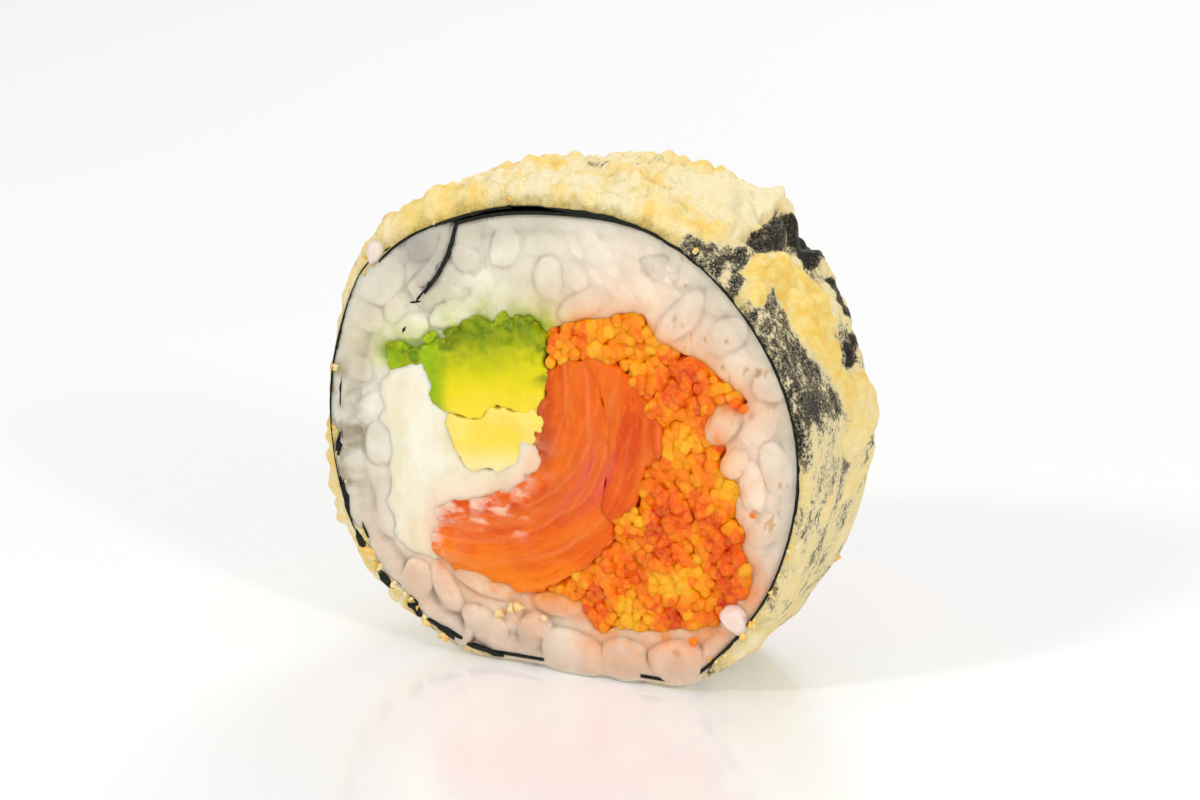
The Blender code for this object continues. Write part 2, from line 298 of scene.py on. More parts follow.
def segment_distance(points, a, b):
    """Distance of each 2-D point to the nearest of the segments from a to b."""
    best = np.full(len(points), np.inf)
    for start, end in zip(a, b):
        d = end - start
        t = np.clip(((points - start) @ d) / max(d @ d, 1e-12), 0, 1)
        best = np.minimum(best, np.hypot(*(points - start - t[:, None] * d).T))
    return best


def crossings(points, a, b):
    """How many of the segments a ray to the right of each 2-D point crosses."""
    count = np.zeros(len(points), int)
    for start, end in zip(a, b):
        spans = (start[1] > points[:, 1]) != (end[1] > points[:, 1])
        slope = (end[0] - start[0]) / (end[1] - start[1] if end[1] != start[1] else 1.0)
        count += spans & (points[:, 0] < start[0] + slope * (points[:, 1] - start[1]))
    return count


class Region:
    """The part of a plane inside some closed loops, with its depth read from a fine raster."""

    CELL = 0.25
    MARGIN = 6

    def __init__(self, loops):
        a = np.concatenate(loops)
        b = np.concatenate([np.roll(loop, -1, axis=0) for loop in loops])
        self.low = a.min(0) - self.MARGIN
        shape = np.ceil((a.max(0) + self.MARGIN - self.low) / self.CELL).astype(int) + 2
        across, up = np.meshgrid(np.arange(shape[0]), np.arange(shape[1]), indexing="ij")
        points = self.low + self.CELL * np.column_stack([across.ravel(), up.ravel()])
        distance = segment_distance(points, a, b)
        inside = crossings(points, a, b) % 2 == 1
        self.raster = np.where(inside, distance, -distance).reshape(shape)

    def depth(self, points):
        """How far inside the region each (x, z) lies; negative outside it."""
        at = (np.asarray(points, float) - self.low) / self.CELL
        at = np.clip(at, 0, np.array(self.raster.shape) - 1.001)
        i, j = np.floor(at).astype(int).T
        u, v = (at - np.floor(at)).T
        r = self.raster
        low = mixed(r[i, j], r[i + 1, j], u)
        high = mixed(r[i, j + 1], r[i + 1, j + 1], u)
        return mixed(low, high, v)


def node_bmesh(name):
    """A CAD node's mesh in metres, with doubled corners merged."""
    bm = bmesh.new()
    bm.from_mesh(nodes[name].data)
    bmesh.ops.remove_doubles(bm, verts=bm.verts, dist=1e-7)
    return bm


def node_points(name):
    """A CAD node's corners in mm and its faces."""
    bm = node_bmesh(name)
    points = np.array([v.co for v in bm.verts]) / MM
    faces = [[v.index for v in f.verts] for f in bm.faces]
    bm.free()
    return points, faces


def cut_outlines(name):
    """The closed loops round a node's front cut, as arrays of (x, z) in mm, the longest first."""
    bm = node_bmesh(name)
    front = min(v.co.y for v in bm.verts) + 1e-5
    cut = {f for f in bm.faces if all(v.co.y < front for v in f.verts)}
    rim = [e for e in bm.edges if sum(f in cut for f in e.link_faces) == 1]
    after = {}
    for e in rim:
        for v in e.verts:
            after.setdefault(v, []).append(e.other_vert(v))
    loops = []
    while after:
        start = next(iter(after))
        loop = [start]
        before, at = None, start
        while True:
            onward = [v for v in after.pop(at) if v is not before]
            before, at = at, onward[0]
            if at is start or at not in after:
                break
            loop.append(at)
        loops.append(np.array([(v.co.x, v.co.z) for v in loop]) / MM)
    bm.free()
    return sorted(loops, key=lambda loop: -np.hypot(*np.diff(loop, axis=0).T).sum())


def resampled(loop, count):
    """A closed loop as count evenly spaced points, clockwise as seen from the front, from the top."""
    x, z = loop.T
    if np.sum(x * np.roll(z, -1) - np.roll(x, -1) * z) > 0:
        loop = loop[::-1]
    loop = np.roll(loop, -int(np.argmax(loop[:, 1] - abs(loop[:, 0] - ROLL_MIDDLE[0]))), axis=0)
    closed = np.vstack([loop, loop[:1]])
    along = np.concatenate([[0], np.cumsum(np.hypot(*np.diff(closed, axis=0).T))])
    wanted = np.linspace(0, along[-1], count, endpoint=False)
    return np.column_stack([np.interp(wanted, along, closed[:, k]) for k in range(2)])


def round_smoothed(values, rounds):
    """Values along a closed loop, each round averaged with its neighbours."""
    for _ in range(rounds):
        values = (np.roll(values, 1, axis=0) + 2 * values + np.roll(values, -1, axis=0)) / 4
    return values


def new_mesh_object(name, points, faces):
    """An object with its mesh in mm, smooth shaded."""
    mesh = bpy.data.meshes.new(name)
    mesh.from_pydata(np.asarray(points, float).tolist(), [], faces)
    mesh.polygons.foreach_set("use_smooth", np.ones(len(mesh.polygons), bool))
    obj = bpy.data.objects.new(name, mesh)
    bpy.context.scene.collection.objects.link(obj)
    return obj


def points_of(obj, what="co"):
    flat = np.empty(len(obj.data.vertices) * 3)
    obj.data.vertices.foreach_get(what, flat)
    return flat.reshape(-1, 3)


def normals_of(obj):
    return points_of(obj, "normal")


def set_points(obj, points):
    obj.data.vertices.foreach_set("co", points.ravel())
    obj.data.update()


def baked(obj):
    """The object with its modifiers applied to its mesh."""
    bpy.context.view_layer.update()
    depsgraph = bpy.context.evaluated_depsgraph_get()
    mesh = bpy.data.meshes.new_from_object(obj.evaluated_get(depsgraph))
    obj.modifiers.clear()
    obj.data = mesh
    mesh.polygons.foreach_set("use_smooth", np.ones(len(mesh.polygons), bool))
    return obj


def joined(solids):
    """Several solids, each given as points and faces, as one set of points and faces."""
    faces = []
    first = 0
    for points, solid_faces in solids:
        faces += [[first + i for i in f] for f in solid_faces]
        first += len(points)
    return np.concatenate([points for points, _ in solids]), faces


def fused(name, solids, cell):
    """One closed piece with even cells from overlapping closed solids, each given as points and faces."""
    obj = new_mesh_object(name, *joined(solids))
    fuse = obj.modifiers.new("fuse", "REMESH")
    fuse.mode = "VOXEL"
    fuse.voxel_size = cell
    return baked(obj)


def relaxed(obj, weight, rounds):
    """A piece's points, each moved towards the middle of its neighbours; weight is one value or one each."""
    points = points_of(obj)
    ends = np.empty(len(obj.data.edges) * 2, int)
    obj.data.edges.foreach_get("vertices", ends)
    a, b = ends.reshape(-1, 2).T
    count = len(points)
    weight = (np.zeros(count) + weight)[:, None]
    share = weight / np.maximum(np.bincount(ends, minlength=count), 1)[:, None]
    for _ in range(rounds):
        sums = [np.bincount(a, points[b, k], count) + np.bincount(b, points[a, k], count) for k in range(3)]
        points += share * np.column_stack(sums) - weight * points
    return points


def hollows(obj, rounds):
    """How many mm each vertex lies below the surface round it; negative on bulges."""
    return np.sum((relaxed(obj, 0.5, rounds) - points_of(obj)) * normals_of(obj), axis=1)


def held_inside(points, region, depth):
    """Points less than depth mm inside the region's rim, moved further in within the cut's plane."""
    xz = points[:, [0, 2]]
    slope = np.column_stack([region.depth(xz + d) - region.depth(xz - d) for d in SLOPE_STEPS])
    slope /= np.maximum(np.hypot(*slope.T), 1e-6)[:, None]
    points[:, [0, 2]] += slope * np.maximum(depth - region.depth(xz), 0)[:, None]
    return points


def core_of(name, inset):
    """A CAD node's solid, made shorter along the roll so that it ends inset mm below both cuts."""
    points, faces = node_points(name)
    points[:, 1] *= (HALF_LENGTH - inset) / np.abs(points[:, 1]).max()
    return points, faces


def at_cut(points, faces, side):
    """A solid whose y is its depth, put below the front cut, or below the back cut where side is -1."""
    points = points.copy()
    points[:, 1] = side * (points[:, 1] - HALF_LENGTH)
    return points, faces if side > 0 else [f[::-1] for f in faces]


def thinned(obj, keep, triangles):
    """Reduces a piece to about that many triangles, sparing the vertices where keep is 1."""
    spared = obj.vertex_groups.new(name="thin")
    for k in np.flatnonzero(keep < 0.5).tolist():
        spared.add([k], 1.0, "REPLACE")
    reduce = obj.modifiers.new("thin", "DECIMATE")
    reduce.vertex_group = "thin"
    reduce.vertex_group_factor = 10
    have = sum(len(p.vertices) - 2 for p in obj.data.polygons)
    reduce.ratio = min(1.0, triangles / have)
    baked(obj)
    obj.vertex_groups.clear()
    return obj


def paint(obj, colours):
    """Gives each vertex its linear colour."""
    layer = obj.data.color_attributes.new("tint", "FLOAT_COLOR", "POINT")
    rgba = np.ones((len(colours), 4), np.float32)
    rgba[:, :3] = np.clip(colours, 0, 1)
    layer.data.foreach_set("color", rgba.ravel())


def measure(obj, name, values):
    """Gives each vertex a number that the material reads."""
    layer = obj.data.attributes.new(name, "FLOAT", "POINT")
    layer.data.foreach_set("value", np.asarray(values, np.float32))


def put(obj, slot, material, *replaced):
    """Scales a finished piece to metres and puts it on the slice."""
    obj.data.transform(Matrix.Scale(MM, 4))
    obj.data.materials.clear()
    obj.data.materials.append(material)
    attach(obj, "root")
    if replaced:
        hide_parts(*replaced)


class Nodes:
    """A material and short ways to add shader nodes to it."""

    def __init__(self, name, **fixed):
        self.material = bpy.data.materials.new(name)
        self.material.use_nodes = True
        self.tree = self.material.node_tree
        self.tree.nodes.clear()
        out = self.tree.nodes.new("ShaderNodeOutputMaterial")
        self.shader = self.tree.nodes.new("ShaderNodeBsdfPrincipled")
        self.tree.links.new(self.shader.outputs[0], out.inputs["Surface"])
        for socket, value in fixed.items():
            self.shader.inputs[socket.replace("_", " ")].default_value = value

    def new(self, kind, inputs=None, **settings):
        node = self.tree.nodes.new(kind)
        for key, value in settings.items():
            setattr(node, key, value)
        for key, value in (inputs or {}).items():
            self.feed(node.inputs[key], value)
        return node

    def feed(self, socket, value):
        if isinstance(value, bpy.types.NodeSocket):
            self.tree.links.new(value, socket)
        elif socket.type == "RGBA":
            socket.default_value = (*value, 1.0)
        else:
            socket.default_value = value

    def attribute(self, name, output="Fac"):
        return self.new("ShaderNodeAttribute", attribute_name=name).outputs[output]

    def noise(self, size, detail=3.0, roughness=0.55, stretch=(1, 1, 1), turn=(0, 0, 0), distortion=0.0):
        """Noise from 0 to 1 whose waves are size mm long, drawn out by stretch."""
        place = self.new("ShaderNodeTexCoord").outputs["Object"]
        scale = tuple(1 / (size * MM * s) for s in stretch)
        place = self.new("ShaderNodeMapping", {"Vector": place, "Scale": scale, "Rotation": turn}).outputs[0]
        return self.noise_at(place, detail, roughness, distortion)

    def noise_at(self, place, detail, roughness, distortion):
        inputs = {"Vector": place, "Scale": 1.0, "Detail": detail}
        inputs |= {"Roughness": roughness, "Distortion": distortion}
        return self.new("ShaderNodeTexNoise", inputs).outputs["Fac"]

    def math(self, operation, a, b=0.5):
        return self.new("ShaderNodeMath", {0: a, 1: b}, operation=operation).outputs[0]

    def spread(self, value, low, high, to_low=0.0, to_high=1.0):
        """value from low..high carried over to to_low..to_high, and held there outside it."""
        inputs = {"Value": value, "From Min": low, "From Max": high, "To Min": to_low, "To Max": to_high}
        return self.new("ShaderNodeMapRange", inputs).outputs[0]

    def mix(self, share, a, b, blend="MIX"):
        """A mix of two colours, through the node's colour sockets, which are its 6th, 7th and 2nd."""
        node = self.new("ShaderNodeMix", data_type="RGBA", blend_type=blend)
        self.feed(node.inputs["Factor"], share)
        self.feed(node.inputs[6], a)
        self.feed(node.inputs[7], b)
        return node.outputs[2]

    def ramp(self, value, *stops):
        """A colour ramp with (place, colour) stops."""
        node = self.new("ShaderNodeValToRGB", {"Fac": value})
        ramp = node.color_ramp
        while len(ramp.elements) < len(stops):
            ramp.elements.new(0.5)
        for element, (place, colour) in zip(ramp.elements, stops):
            element.position = place
            element.color = (*colour, 1.0)
        return node.outputs[0]

    def bump(self, *layers):
        """Bumps from (height value, depth in mm) layers, one on the other."""
        normal = None
        for height, depth in layers:
            inputs = {"Height": height, "Distance": depth * MM, "Strength": 1.0}
            if normal is not None:
                inputs["Normal"] = normal
            normal = self.new("ShaderNodeBump", inputs).outputs[0]
        for socket in ("Normal", "Coat Normal"):
            self.tree.links.new(normal, self.shader.inputs[socket])

    def colour(self, value):
        self.feed(self.shader.inputs["Base Color"], value)

    def roughness(self, value):
        self.feed(self.shader.inputs["Roughness"], value)

    def uneven_roughness(self, size, detail, low, high):
        """Roughness from low to high, in patches of size mm."""
        self.roughness(self.spread(self.noise(size, detail), 0.3, 0.7, low, high))


def moist(name, share, radius, scale, specular, coat, coat_roughness):
    """A material that light enters: its share, its reach by colour and in mm, and its wet coat."""
    return Nodes(
        name,
        Subsurface_Weight=share,
        Subsurface_Radius=radius,
        Subsurface_Scale=scale * MM,
        Specular_IOR_Level=specular,
        Coat_Weight=coat,
        Coat_Roughness=coat_roughness,
    )


# Materials


def rice_material():
    m = moist("rice", 0.85, (1.0, 0.85, 0.75), 1.5, 0.3, 0.4, 0.06)
    tint = m.attribute("tint", "Color")
    cloud = m.spread(m.noise(2.4, 4), 0.3, 0.7)
    m.colour(m.mix(cloud, m.mix(1.0, tint, linear(238, 236, 232), "MULTIPLY"), tint))
    m.uneven_roughness(0.8, 3, 0.3, 0.5)
    m.bump((m.noise(1.3, 4, 0.6, stretch=(1, 1, 1.8)), 0.3), (m.noise(0.3, 3, 0.7), 0.1))
    return m.material


def egg_material():
    m = moist("fish_roe", 0.65, (1.0, 0.4, 0.05), 0.7, 0.05, 0.5, 0.06)
    tint = m.attribute("tint", "Color")
    yolk = m.spread(m.noise(0.5, 2), 0.42, 0.65)
    m.colour(m.mix(m.math("MULTIPLY", yolk, 0.3), tint, linear(255, 176, 20)))
    m.uneven_roughness(0.4, 2, 0.18, 0.4)
    m.bump((m.noise(0.45, 4, 0.65), 0.22),)
    return m.material


def salmon_material():
    m = moist("salmon", 0.4, (1.0, 0.35, 0.1), 0.8, 0.05, 0.3, 0.06)
    tint = m.attribute("tint", "Color")
    flow = m.new("ShaderNodeCombineXYZ", {0: m.attribute("across"), 1: m.attribute("along")}).outputs[0]
    fibre = m.noise_at(flow, 5.0, 0.7, 0.4)
    tint = m.mix(m.spread(fibre, 0.52, 0.72, 0.0, 0.5), tint, linear(252, 146, 54))
    tint = m.mix(m.spread(fibre, 0.46, 0.3, 0.0, 0.45), tint, linear(206, 58, 0))
    grainy = m.spread(m.noise(0.7, 4), 0.35, 0.7)
    m.colour(m.mix(m.math("MULTIPLY", grainy, 0.2), tint, linear(250, 120, 20)))
    m.uneven_roughness(0.6, 3, 0.22, 0.42)
    m.bump((m.noise(1.2, 4), 0.35), (m.noise(0.35, 3, 0.7), 0.12))
    return m.material


def cheese_material():
    m = moist("cream_cheese", 0.8, (1.0, 0.9, 0.7), 1.2, 0.5, 0.1, 0.3)
    tint = m.attribute("tint", "Color")
    shade = m.spread(m.noise(2.0, 4, stretch=(1, 1, 2.2)), 0.3, 0.7)
    m.colour(m.mix(shade, m.mix(1.0, tint, linear(246, 243, 234), "MULTIPLY"), tint))
    m.uneven_roughness(1.0, 3, 0.4, 0.6)
    m.bump((m.noise(1.8, 4, stretch=(1, 1, 2)), 0.25), (m.noise(0.3, 3), 0.04))
    return m.material


def avocado_material():
    m = moist("avocado", 0.4, (1.0, 0.9, 0.3), 0.6, 0.12, 0.15, 0.15)
    tint = m.attribute("tint", "Color")
    mottle = m.spread(m.noise(1.1, 4, distortion=0.6), 0.35, 0.7)
    m.colour(m.mix(m.math("MULTIPLY", mottle, 0.3), tint, linear(240, 222, 30)))
    m.uneven_roughness(0.7, 3, 0.3, 0.5)
    m.bump((m.noise(1.2, 4), 0.18), (m.noise(0.25, 2), 0.03))
    return m.material


def nori_material():
    m = Nodes("nori", Specular_IOR_Level=0.2)
    fleck = m.spread(m.noise(0.3, 3), 0.45, 0.75)
    m.colour(m.mix(fleck, linear(16, 17, 13), linear(44, 46, 36)))
    m.uneven_roughness(0.5, 2, 0.4, 0.65)
    m.bump((m.noise(0.5, 3), 0.12),)
    return m.material


def crust_material():
    m = Nodes("fried_batter", Subsurface_Weight=0.2, Subsurface_Scale=0.6 * MM, Specular_IOR_Level=0.2)
    batter = m.attribute("batter")
    grain = m.spread(m.noise(0.5, 5, 0.8), 0.3, 0.7, -0.34, 0.34)
    streak = m.noise(1.4, 4, 0.65, stretch=(0.7, 1.6, 2.4), turn=(0.5, 0.0, 0.0))
    streak = m.spread(streak, 0.3, 0.7, -0.32, 0.3)
    cover = m.math("ADD", batter, m.math("ADD", grain, streak))
    film = m.ramp(
        cover,
        (0.0, linear(34, 30, 24)),
        (0.22, linear(72, 64, 50)),
        (0.36, linear(140, 128, 100)),
        (0.48, linear(224, 212, 172)),
        (0.66, linear(244, 222, 160)),
        (0.9, linear(246, 224, 162)),
        (1.0, linear(250, 236, 196)),
    )
    dust = m.spread(m.noise(0.22, 3, 0.7), 0.54, 0.62)
    dust = m.math("MULTIPLY", dust, m.spread(batter, 0.05, 0.25, 0.12, 0.6))
    dust = m.math("MULTIPLY", dust, m.spread(batter, 0.55, 0.8, 1.0, 0.0))
    film = m.mix(dust, film, linear(216, 206, 172))
    golden = m.ramp(
        m.noise(1.3, 5, 0.65),
        (0.3, linear(250, 196, 74)),
        (0.5, linear(252, 216, 116)),
        (0.7, linear(254, 232, 160)),
    )
    colour = m.mix(m.attribute("gold"), film, golden)
    toasted = m.ramp(m.noise(0.4, 4, 0.7), (0.35, linear(140, 120, 44)), (0.6, linear(210, 186, 98)))
    m.colour(m.mix(m.math("MULTIPLY", m.attribute("toast"), 0.8), colour, toasted))
    m.roughness(m.spread(batter, 0.0, 0.5, 0.42, 0.75))
    m.bump((m.noise(1.2, 5, 0.65), 0.3), (m.noise(0.3, 4, 0.75), 0.1))
    return m.material


def crumb_material():
    m = Nodes("crumbs", Subsurface_Weight=0.1, Subsurface_Scale=0.4 * MM, Specular_IOR_Level=0.25)
    parts = m.new("ShaderNodeSeparateColor", {"Color": m.attribute("tint", "Color")})
    share = m.math("ADD", parts.outputs[0], m.spread(m.noise(0.6, 4), 0.3, 0.7, -0.4, 0.4))
    pale, tan, brown = linear(246, 230, 180), linear(250, 212, 126), linear(246, 186, 84)
    m.colour(m.ramp(share, (0.0, pale), (0.5, tan), (1.0, brown)))
    m.uneven_roughness(0.4, 3, 0.35, 0.6)
    m.bump((m.noise(0.5, 4), 0.2),)
    return m.material


def floor_material():
    m = Nodes("floor", Specular_IOR_Level=0.9, Emission_Color=(1, 1, 1, 1), Emission_Strength=FLOOR_GLOW)
    m.colour(m.mix(m.noise(90, 2), FLOOR_COLOUR, FLOOR_COLOUR * 0.995))
    m.roughness(FLOOR_ROUGHNESS)
    return m.material


# Rice


def unit_ball(detail):
    """A unit ball as points and triangles."""
    bm = bmesh.new()
    bmesh.ops.create_icosphere(bm, subdivisions=detail, radius=1.0)
    points = np.array([v.co for v in bm.verts])
    faces = [[v.index for v in f.verts] for f in bm.faces]
    bm.free()
    return points, faces


def turned(points, spin, tilt, angle):
    """Points turned about their long axis, then out of the cut's plane, then within it."""
    turn = Matrix.Rotation(-angle, 3, "Y") @ Matrix.Rotation(tilt, 3, "Z") @ Matrix.Rotation(spin, 3, "X")
    return points @ np.array(turn).T


def grain_shape(ball, rng, length, width):
    """A cooked grain along X: blunt ends, a little bent, thicker at one end."""
    points = ball * [length / 2, width / 2, width * 0.42]
    along = ball[:, 0]
    points[:, 1:] *= (1 + 0.16 * rng.uniform(-1, 1) * along - 0.06 * along**4)[:, None]
    points[:, 2] += rng.uniform(-0.45, 0.45) * along**2
    points += (0.05 * width * fractal(ball * 2 + rng.uniform(0, 50, 3), 1.0, 2, 5))[:, None] * ball
    return points


def pressed(points, plane):
    """Points behind plane mm of depth, those before it flattened against it."""
    depth = points[:, 1]
    near = depth < plane + GRAIN_CLAMP
    over = (np.minimum(depth, plane + GRAIN_CLAMP) - plane) / GRAIN_CLAMP
    squeezed = plane + GRAIN_CLAMP * np.exp(over - 1)
    points[:, 1] = np.where(near, squeezed, depth)
    return points


def grain_places(rng, marked):
    """Where grains lie at a cut, as (middle, angle, tilt, length, width, front).

    The marked ones come first. Each layer after them lies deeper and closer together.
    """
    middles = np.column_stack([rng.uniform(-26, 26, GRAIN_TRIES), rng.uniform(0, 48, GRAIN_TRIES)])
    middles = middles[regions["rice"].depth(middles) > 0.3]
    share = np.linspace(-1, 1, 5)[:, None]
    placed = []
    spines = np.zeros((0, 5, 2))
    radii = np.zeros(0)

    def place(middle, angle, tilt, length, width, front, closeness):
        nonlocal spines, radii
        reach = max(0.0, (length - width) / 2) * math.cos(tilt)
        spine = middle + share * reach * np.array([math.cos(angle), math.sin(angle)])
        radius = width / 2
        if closeness:
            if regions["roll"].depth(spine).min() < 0.4 * radius:
                return
            if regions["fillings"].depth(spine).max() > -0.42 * radius:
                return
            gaps = np.linalg.norm(spine[None, :, None] - spines[:, None], axis=3).min(axis=(1, 2))
            if np.any(gaps < closeness * (radius + radii)):
                return
        placed.append((middle, angle, tilt, length, width, front))
        spines = np.concatenate([spines, spine[None]])
        radii = np.append(radii, radius)

    for x, z, length, width, angle, front in marked:
        place(np.array([x, z]), math.radians(angle), 0.1, length, width, front, 0)
    for layer, closeness in enumerate(GRAIN_CLOSENESS):
        for middle in middles:
            angle = rng.uniform(0, math.pi)
            tilt = rng.choice([rng.uniform(low, high) for low, high in GRAIN_TILTS])
            front = 0.02 + 0.16 * layer + 0.5 * rng.random() ** 1.5
            tilt *= rng.choice([-1, 1])
            length = rng.uniform(*GRAIN_LENGTH)
            width = rng.uniform(*GRAIN_WIDTH)
            place(middle, angle, tilt, length, width, front, closeness)
    return placed


def past_nori(clock):
    """Where the rice covers the CAD nori at a cut, 0 to 1: at the left, and at the bottom."""
    return band(clock, -124, 8, -44, 14), band(np.mod(clock, 360), 138, 10, 204, 8)


def swollen_rim(points):
    """Rice points at the cuts' rim moved out over the nori where the photo shows the rice there."""
    xz = points[:, [0, 2]]
    clock = clock_of(xz)
    left, bottom = past_nori(clock)
    place = np.column_stack([xz[:, 0], 0 * clock, xz[:, 1]])
    patchy = smooth_step(0.5 + 3.5 * fractal(place, 3.2, 2, 45))
    lower_left = band(clock, -160, 6, -118, 6) * patchy
    reach = 0.3 + 1.0 * left + 0.8 * bottom + 0.5 * lower_left
    edge = smooth_step(1.4 - regions["roll"].depth(xz) / 1.2)
    edge *= smooth_step((np.abs(points[:, 1]) - 7.4) / 0.8)
    outward = xz - ROLL_MIDDLE
    outward /= np.hypot(*outward.T)[:, None]
    points[:, [0, 2]] += outward * (reach * edge)[:, None]
    covering = np.clip(left + bottom + lower_left, 0, 1)
    front = HALF_LENGTH - 0.08 + 0.2 * covering + 0.12 * fractal(points, 2.0, 2, 46)
    size = np.abs(points[:, 1])
    lift = edge * np.clip(0.5 + 0.5 * (left + lower_left) + 0.3 * bottom, 0, 1)
    points[:, 1] = np.sign(points[:, 1]) * np.where(size < front, mixed(size, front, lift), size)
    return points


def near(xz, reach, *names):
    """1 in the named regions, fading over reach mm outside them."""
    depth = np.max([regions[name].depth(xz) for name in names], axis=0)
    return np.exp(np.minimum(depth, 0) / reach)


def rice_tint(points, grain_shade):
    """The rice's colour: white, greyer near the nori, stained by the fillings that it touches, with a patch
    of painted shade near the end of the nori's flap.
    """
    xz = points[:, [0, 2]]
    x, z = xz.T
    cloud = fractal(points, 5.0, 3, 40)
    fine = fractal(points, 1.6, 3, 41)
    warm = smooth_step((x + 4) / 14)[:, None]
    colour = mixed(linear(254, 252, 238), linear(254, 240, 222), warm)
    colour = tinted(colour, (224, 217, 200), grain_shade)
    near_nori = smooth_step(1 - regions["roll"].depth(xz) / 4.0 + 0.5 * cloud)[:, None]
    low = smooth_step((20 - z) / 12)[:, None]
    colour = mixed(colour, mixed(linear(202, 200, 184), linear(206, 180, 162), low), 0.55 * near_nori)
    left = smooth_step((-22.6 - x) / 1.6) * band(z, 11, 3, 31, 3)
    colour = tinted(colour, (160, 150, 124), left * (0.3 + 1.6 * fine), 0.9)
    # A grey patch near the end of the nori's flap: painted shade
    colour = tinted(colour, (172, 170, 168), 0.9 * bell(x, -16.4, 2.2) * bell(z, 42.6, 3.0))
    blush = near(xz, 3.4, *OILY) * (0.8 + 0.6 * cloud)
    colour = tinted(colour, (252, 204, 166), blush)
    under = smooth_step((16 - z) / 4)
    juice = near(xz, 0.9 + 1.4 * under, *OILY) * (0.75 + 0.9 * fine)
    colour = tinted(colour, (252, 150, 56), 0.85 * juice)
    top_side = smooth_step((z - 28) / 3)
    green = top_side * near(xz, 1.6, "avocado_upper") * (0.9 + 0.9 * fractal(points, 1.8, 3, 42))
    colour = tinted(colour, (206, 222, 60), green)
    mossy = smooth_step(0.35 + 2.4 * fractal(points, 1.2, 3, 43))
    colour = tinted(colour, (118, 158, 4), top_side * near(xz, 0.8, "avocado_upper") * mossy)
    colour = tinted(colour, (248, 242, 222), 0.85 * near(xz, 0.9, "cream_cheese"))
    specks = smooth_step((fractal(points * [1.6, 1, 1], 1.3, 3, 44) - 0.5) / 0.16)
    return tinted(colour, (214, 160, 96), 0.75 * specks * smooth_step((x - 8) / 6))


def clock_of(xz):
    """Each point's clock angle round the middle of the roll."""
    return np.degrees(np.arctan2(xz[:, 0] - ROLL_MIDDLE[0], xz[:, 1] - ROLL_MIDDLE[1]))


def new_rice():
    """Single grains at both cuts, fused with a core that ends below them, its rim swollen over the nori."""
    rng = np.random.default_rng(7)
    ball, ball_faces = unit_ball(3)
    solids = [core_of("rice", RICE_INSET)]
    samples, shades = [], []
    for side in (1, -1):
        marked = MARKED_GRAINS if side > 0 else ()
        for middle, angle, tilt, length, width, front in grain_places(rng, marked):
            shape = grain_shape(ball, rng, length, width)
            shape = turned(shape, rng.uniform(0, math.pi), tilt, angle)
            depth = front + 0.3 * width + rng.uniform(0.0, 0.3) + abs(math.sin(tilt)) * 0.8
            shape = pressed(shape + [middle[0], depth, middle[1]], front)
            shape = held_inside(shape, regions["roll"], -0.1)
            solids.append(at_cut(shape, ball_faces, side))
            samples.append(solids[-1][0][::6])
            shades.append(np.full(len(samples[-1]), rng.random()))
    rice = fused("rice_grains", solids, RICE_CELL)
    set_points(rice, relaxed(rice, 0.5, 2))
    x, _, z = points_of(rice).T
    smear = smooth_step((z - 35) / 6) * smooth_step((x + 13) / 5) * smooth_step((18 - x) / 6)
    set_points(rice, relaxed(rice, 0.05 + 0.35 * smear, 4))
    points = points_of(rice)
    from_flap = np.hypot(*((points[:, [0, 2]] - FLAP_MIDDLE) / FLAP_REACH).T)
    swell = RICE_SWELL + FLAP_SWELL * smooth_step(2 - from_flap * 1.5)
    points[:, [0, 2]] += swell[:, None] * normals_of(rice)[:, [0, 2]]
    points = swollen_rim(points)
    set_points(rice, points)
    thinned(rice, smooth_step((np.abs(points[:, 1]) - RICE_HIDDEN) / 0.8), RICE_TRIANGLES)
    points = points_of(rice)
    colour = rice_tint(points, nearest_values(points, np.concatenate(samples), np.concatenate(shades)))
    # Painted shade: the colour is darkened in the creases between grains and in wider hollows, more so low
    # down
    crease_shade = smooth_step(hollows(rice, 5) / 0.09)
    hollow = smooth_step(hollows(rice, 24) / 0.22)
    low = smooth_step((12 - points[:, 2]) / 6)
    painted_shade = (1 - (0.24 + 0.22 * low) * crease_shade) * (1 - (0.1 + 0.14 * low) * hollow)
    paint(rice, colour * np.column_stack([painted_shade, painted_shade**1.08, painted_shade**1.2]))
    put(rice, "rice", rice_look, "rice")


# Fillings


def new_filling(name, cell, swell, ragged, relief, extra=()):
    """A node's solid and extra ones in even cells, grown, ragged at the sides, with relief at the cuts."""
    obj = fused(name + "_piece", [node_points(name), *extra], cell)
    set_points(obj, relaxed(obj, 0.5, 3))
    normals = normals_of(obj)
    points = points_of(obj)
    spread = swell + ragged * fractal(points, 1.7, 3, 9)
    points[:, [0, 2]] += spread[:, None] * normals[:, [0, 2]]
    side = np.sign(points[:, 1])
    share = smooth_step((np.abs(points[:, 1]) - HALF_LENGTH + 1.6) / 1.2)
    points[:, 1] += side * share * relief(points)
    set_points(obj, points)
    return obj


def rounded_rim(points, region, reach, drop):
    """How much lower a cut is near the region's rim, in mm; 0 further in than reach."""
    inner = np.clip((region.depth(points[:, [0, 2]]) + 0.2) / reach, 0, 1)
    return -drop * (1 - inner) ** 2


def pressed_rod(ball, middle, radius):
    """A rod along the roll, from cut to cut, with that middle as (x, z)."""
    rod = ball * [radius, 2 * HALF_LENGTH, radius]
    rod[:, 1] = np.clip(rod[:, 1], 0.2 - HALF_LENGTH, HALF_LENGTH - 0.2)
    return rod + [middle[0], 0, middle[1]]


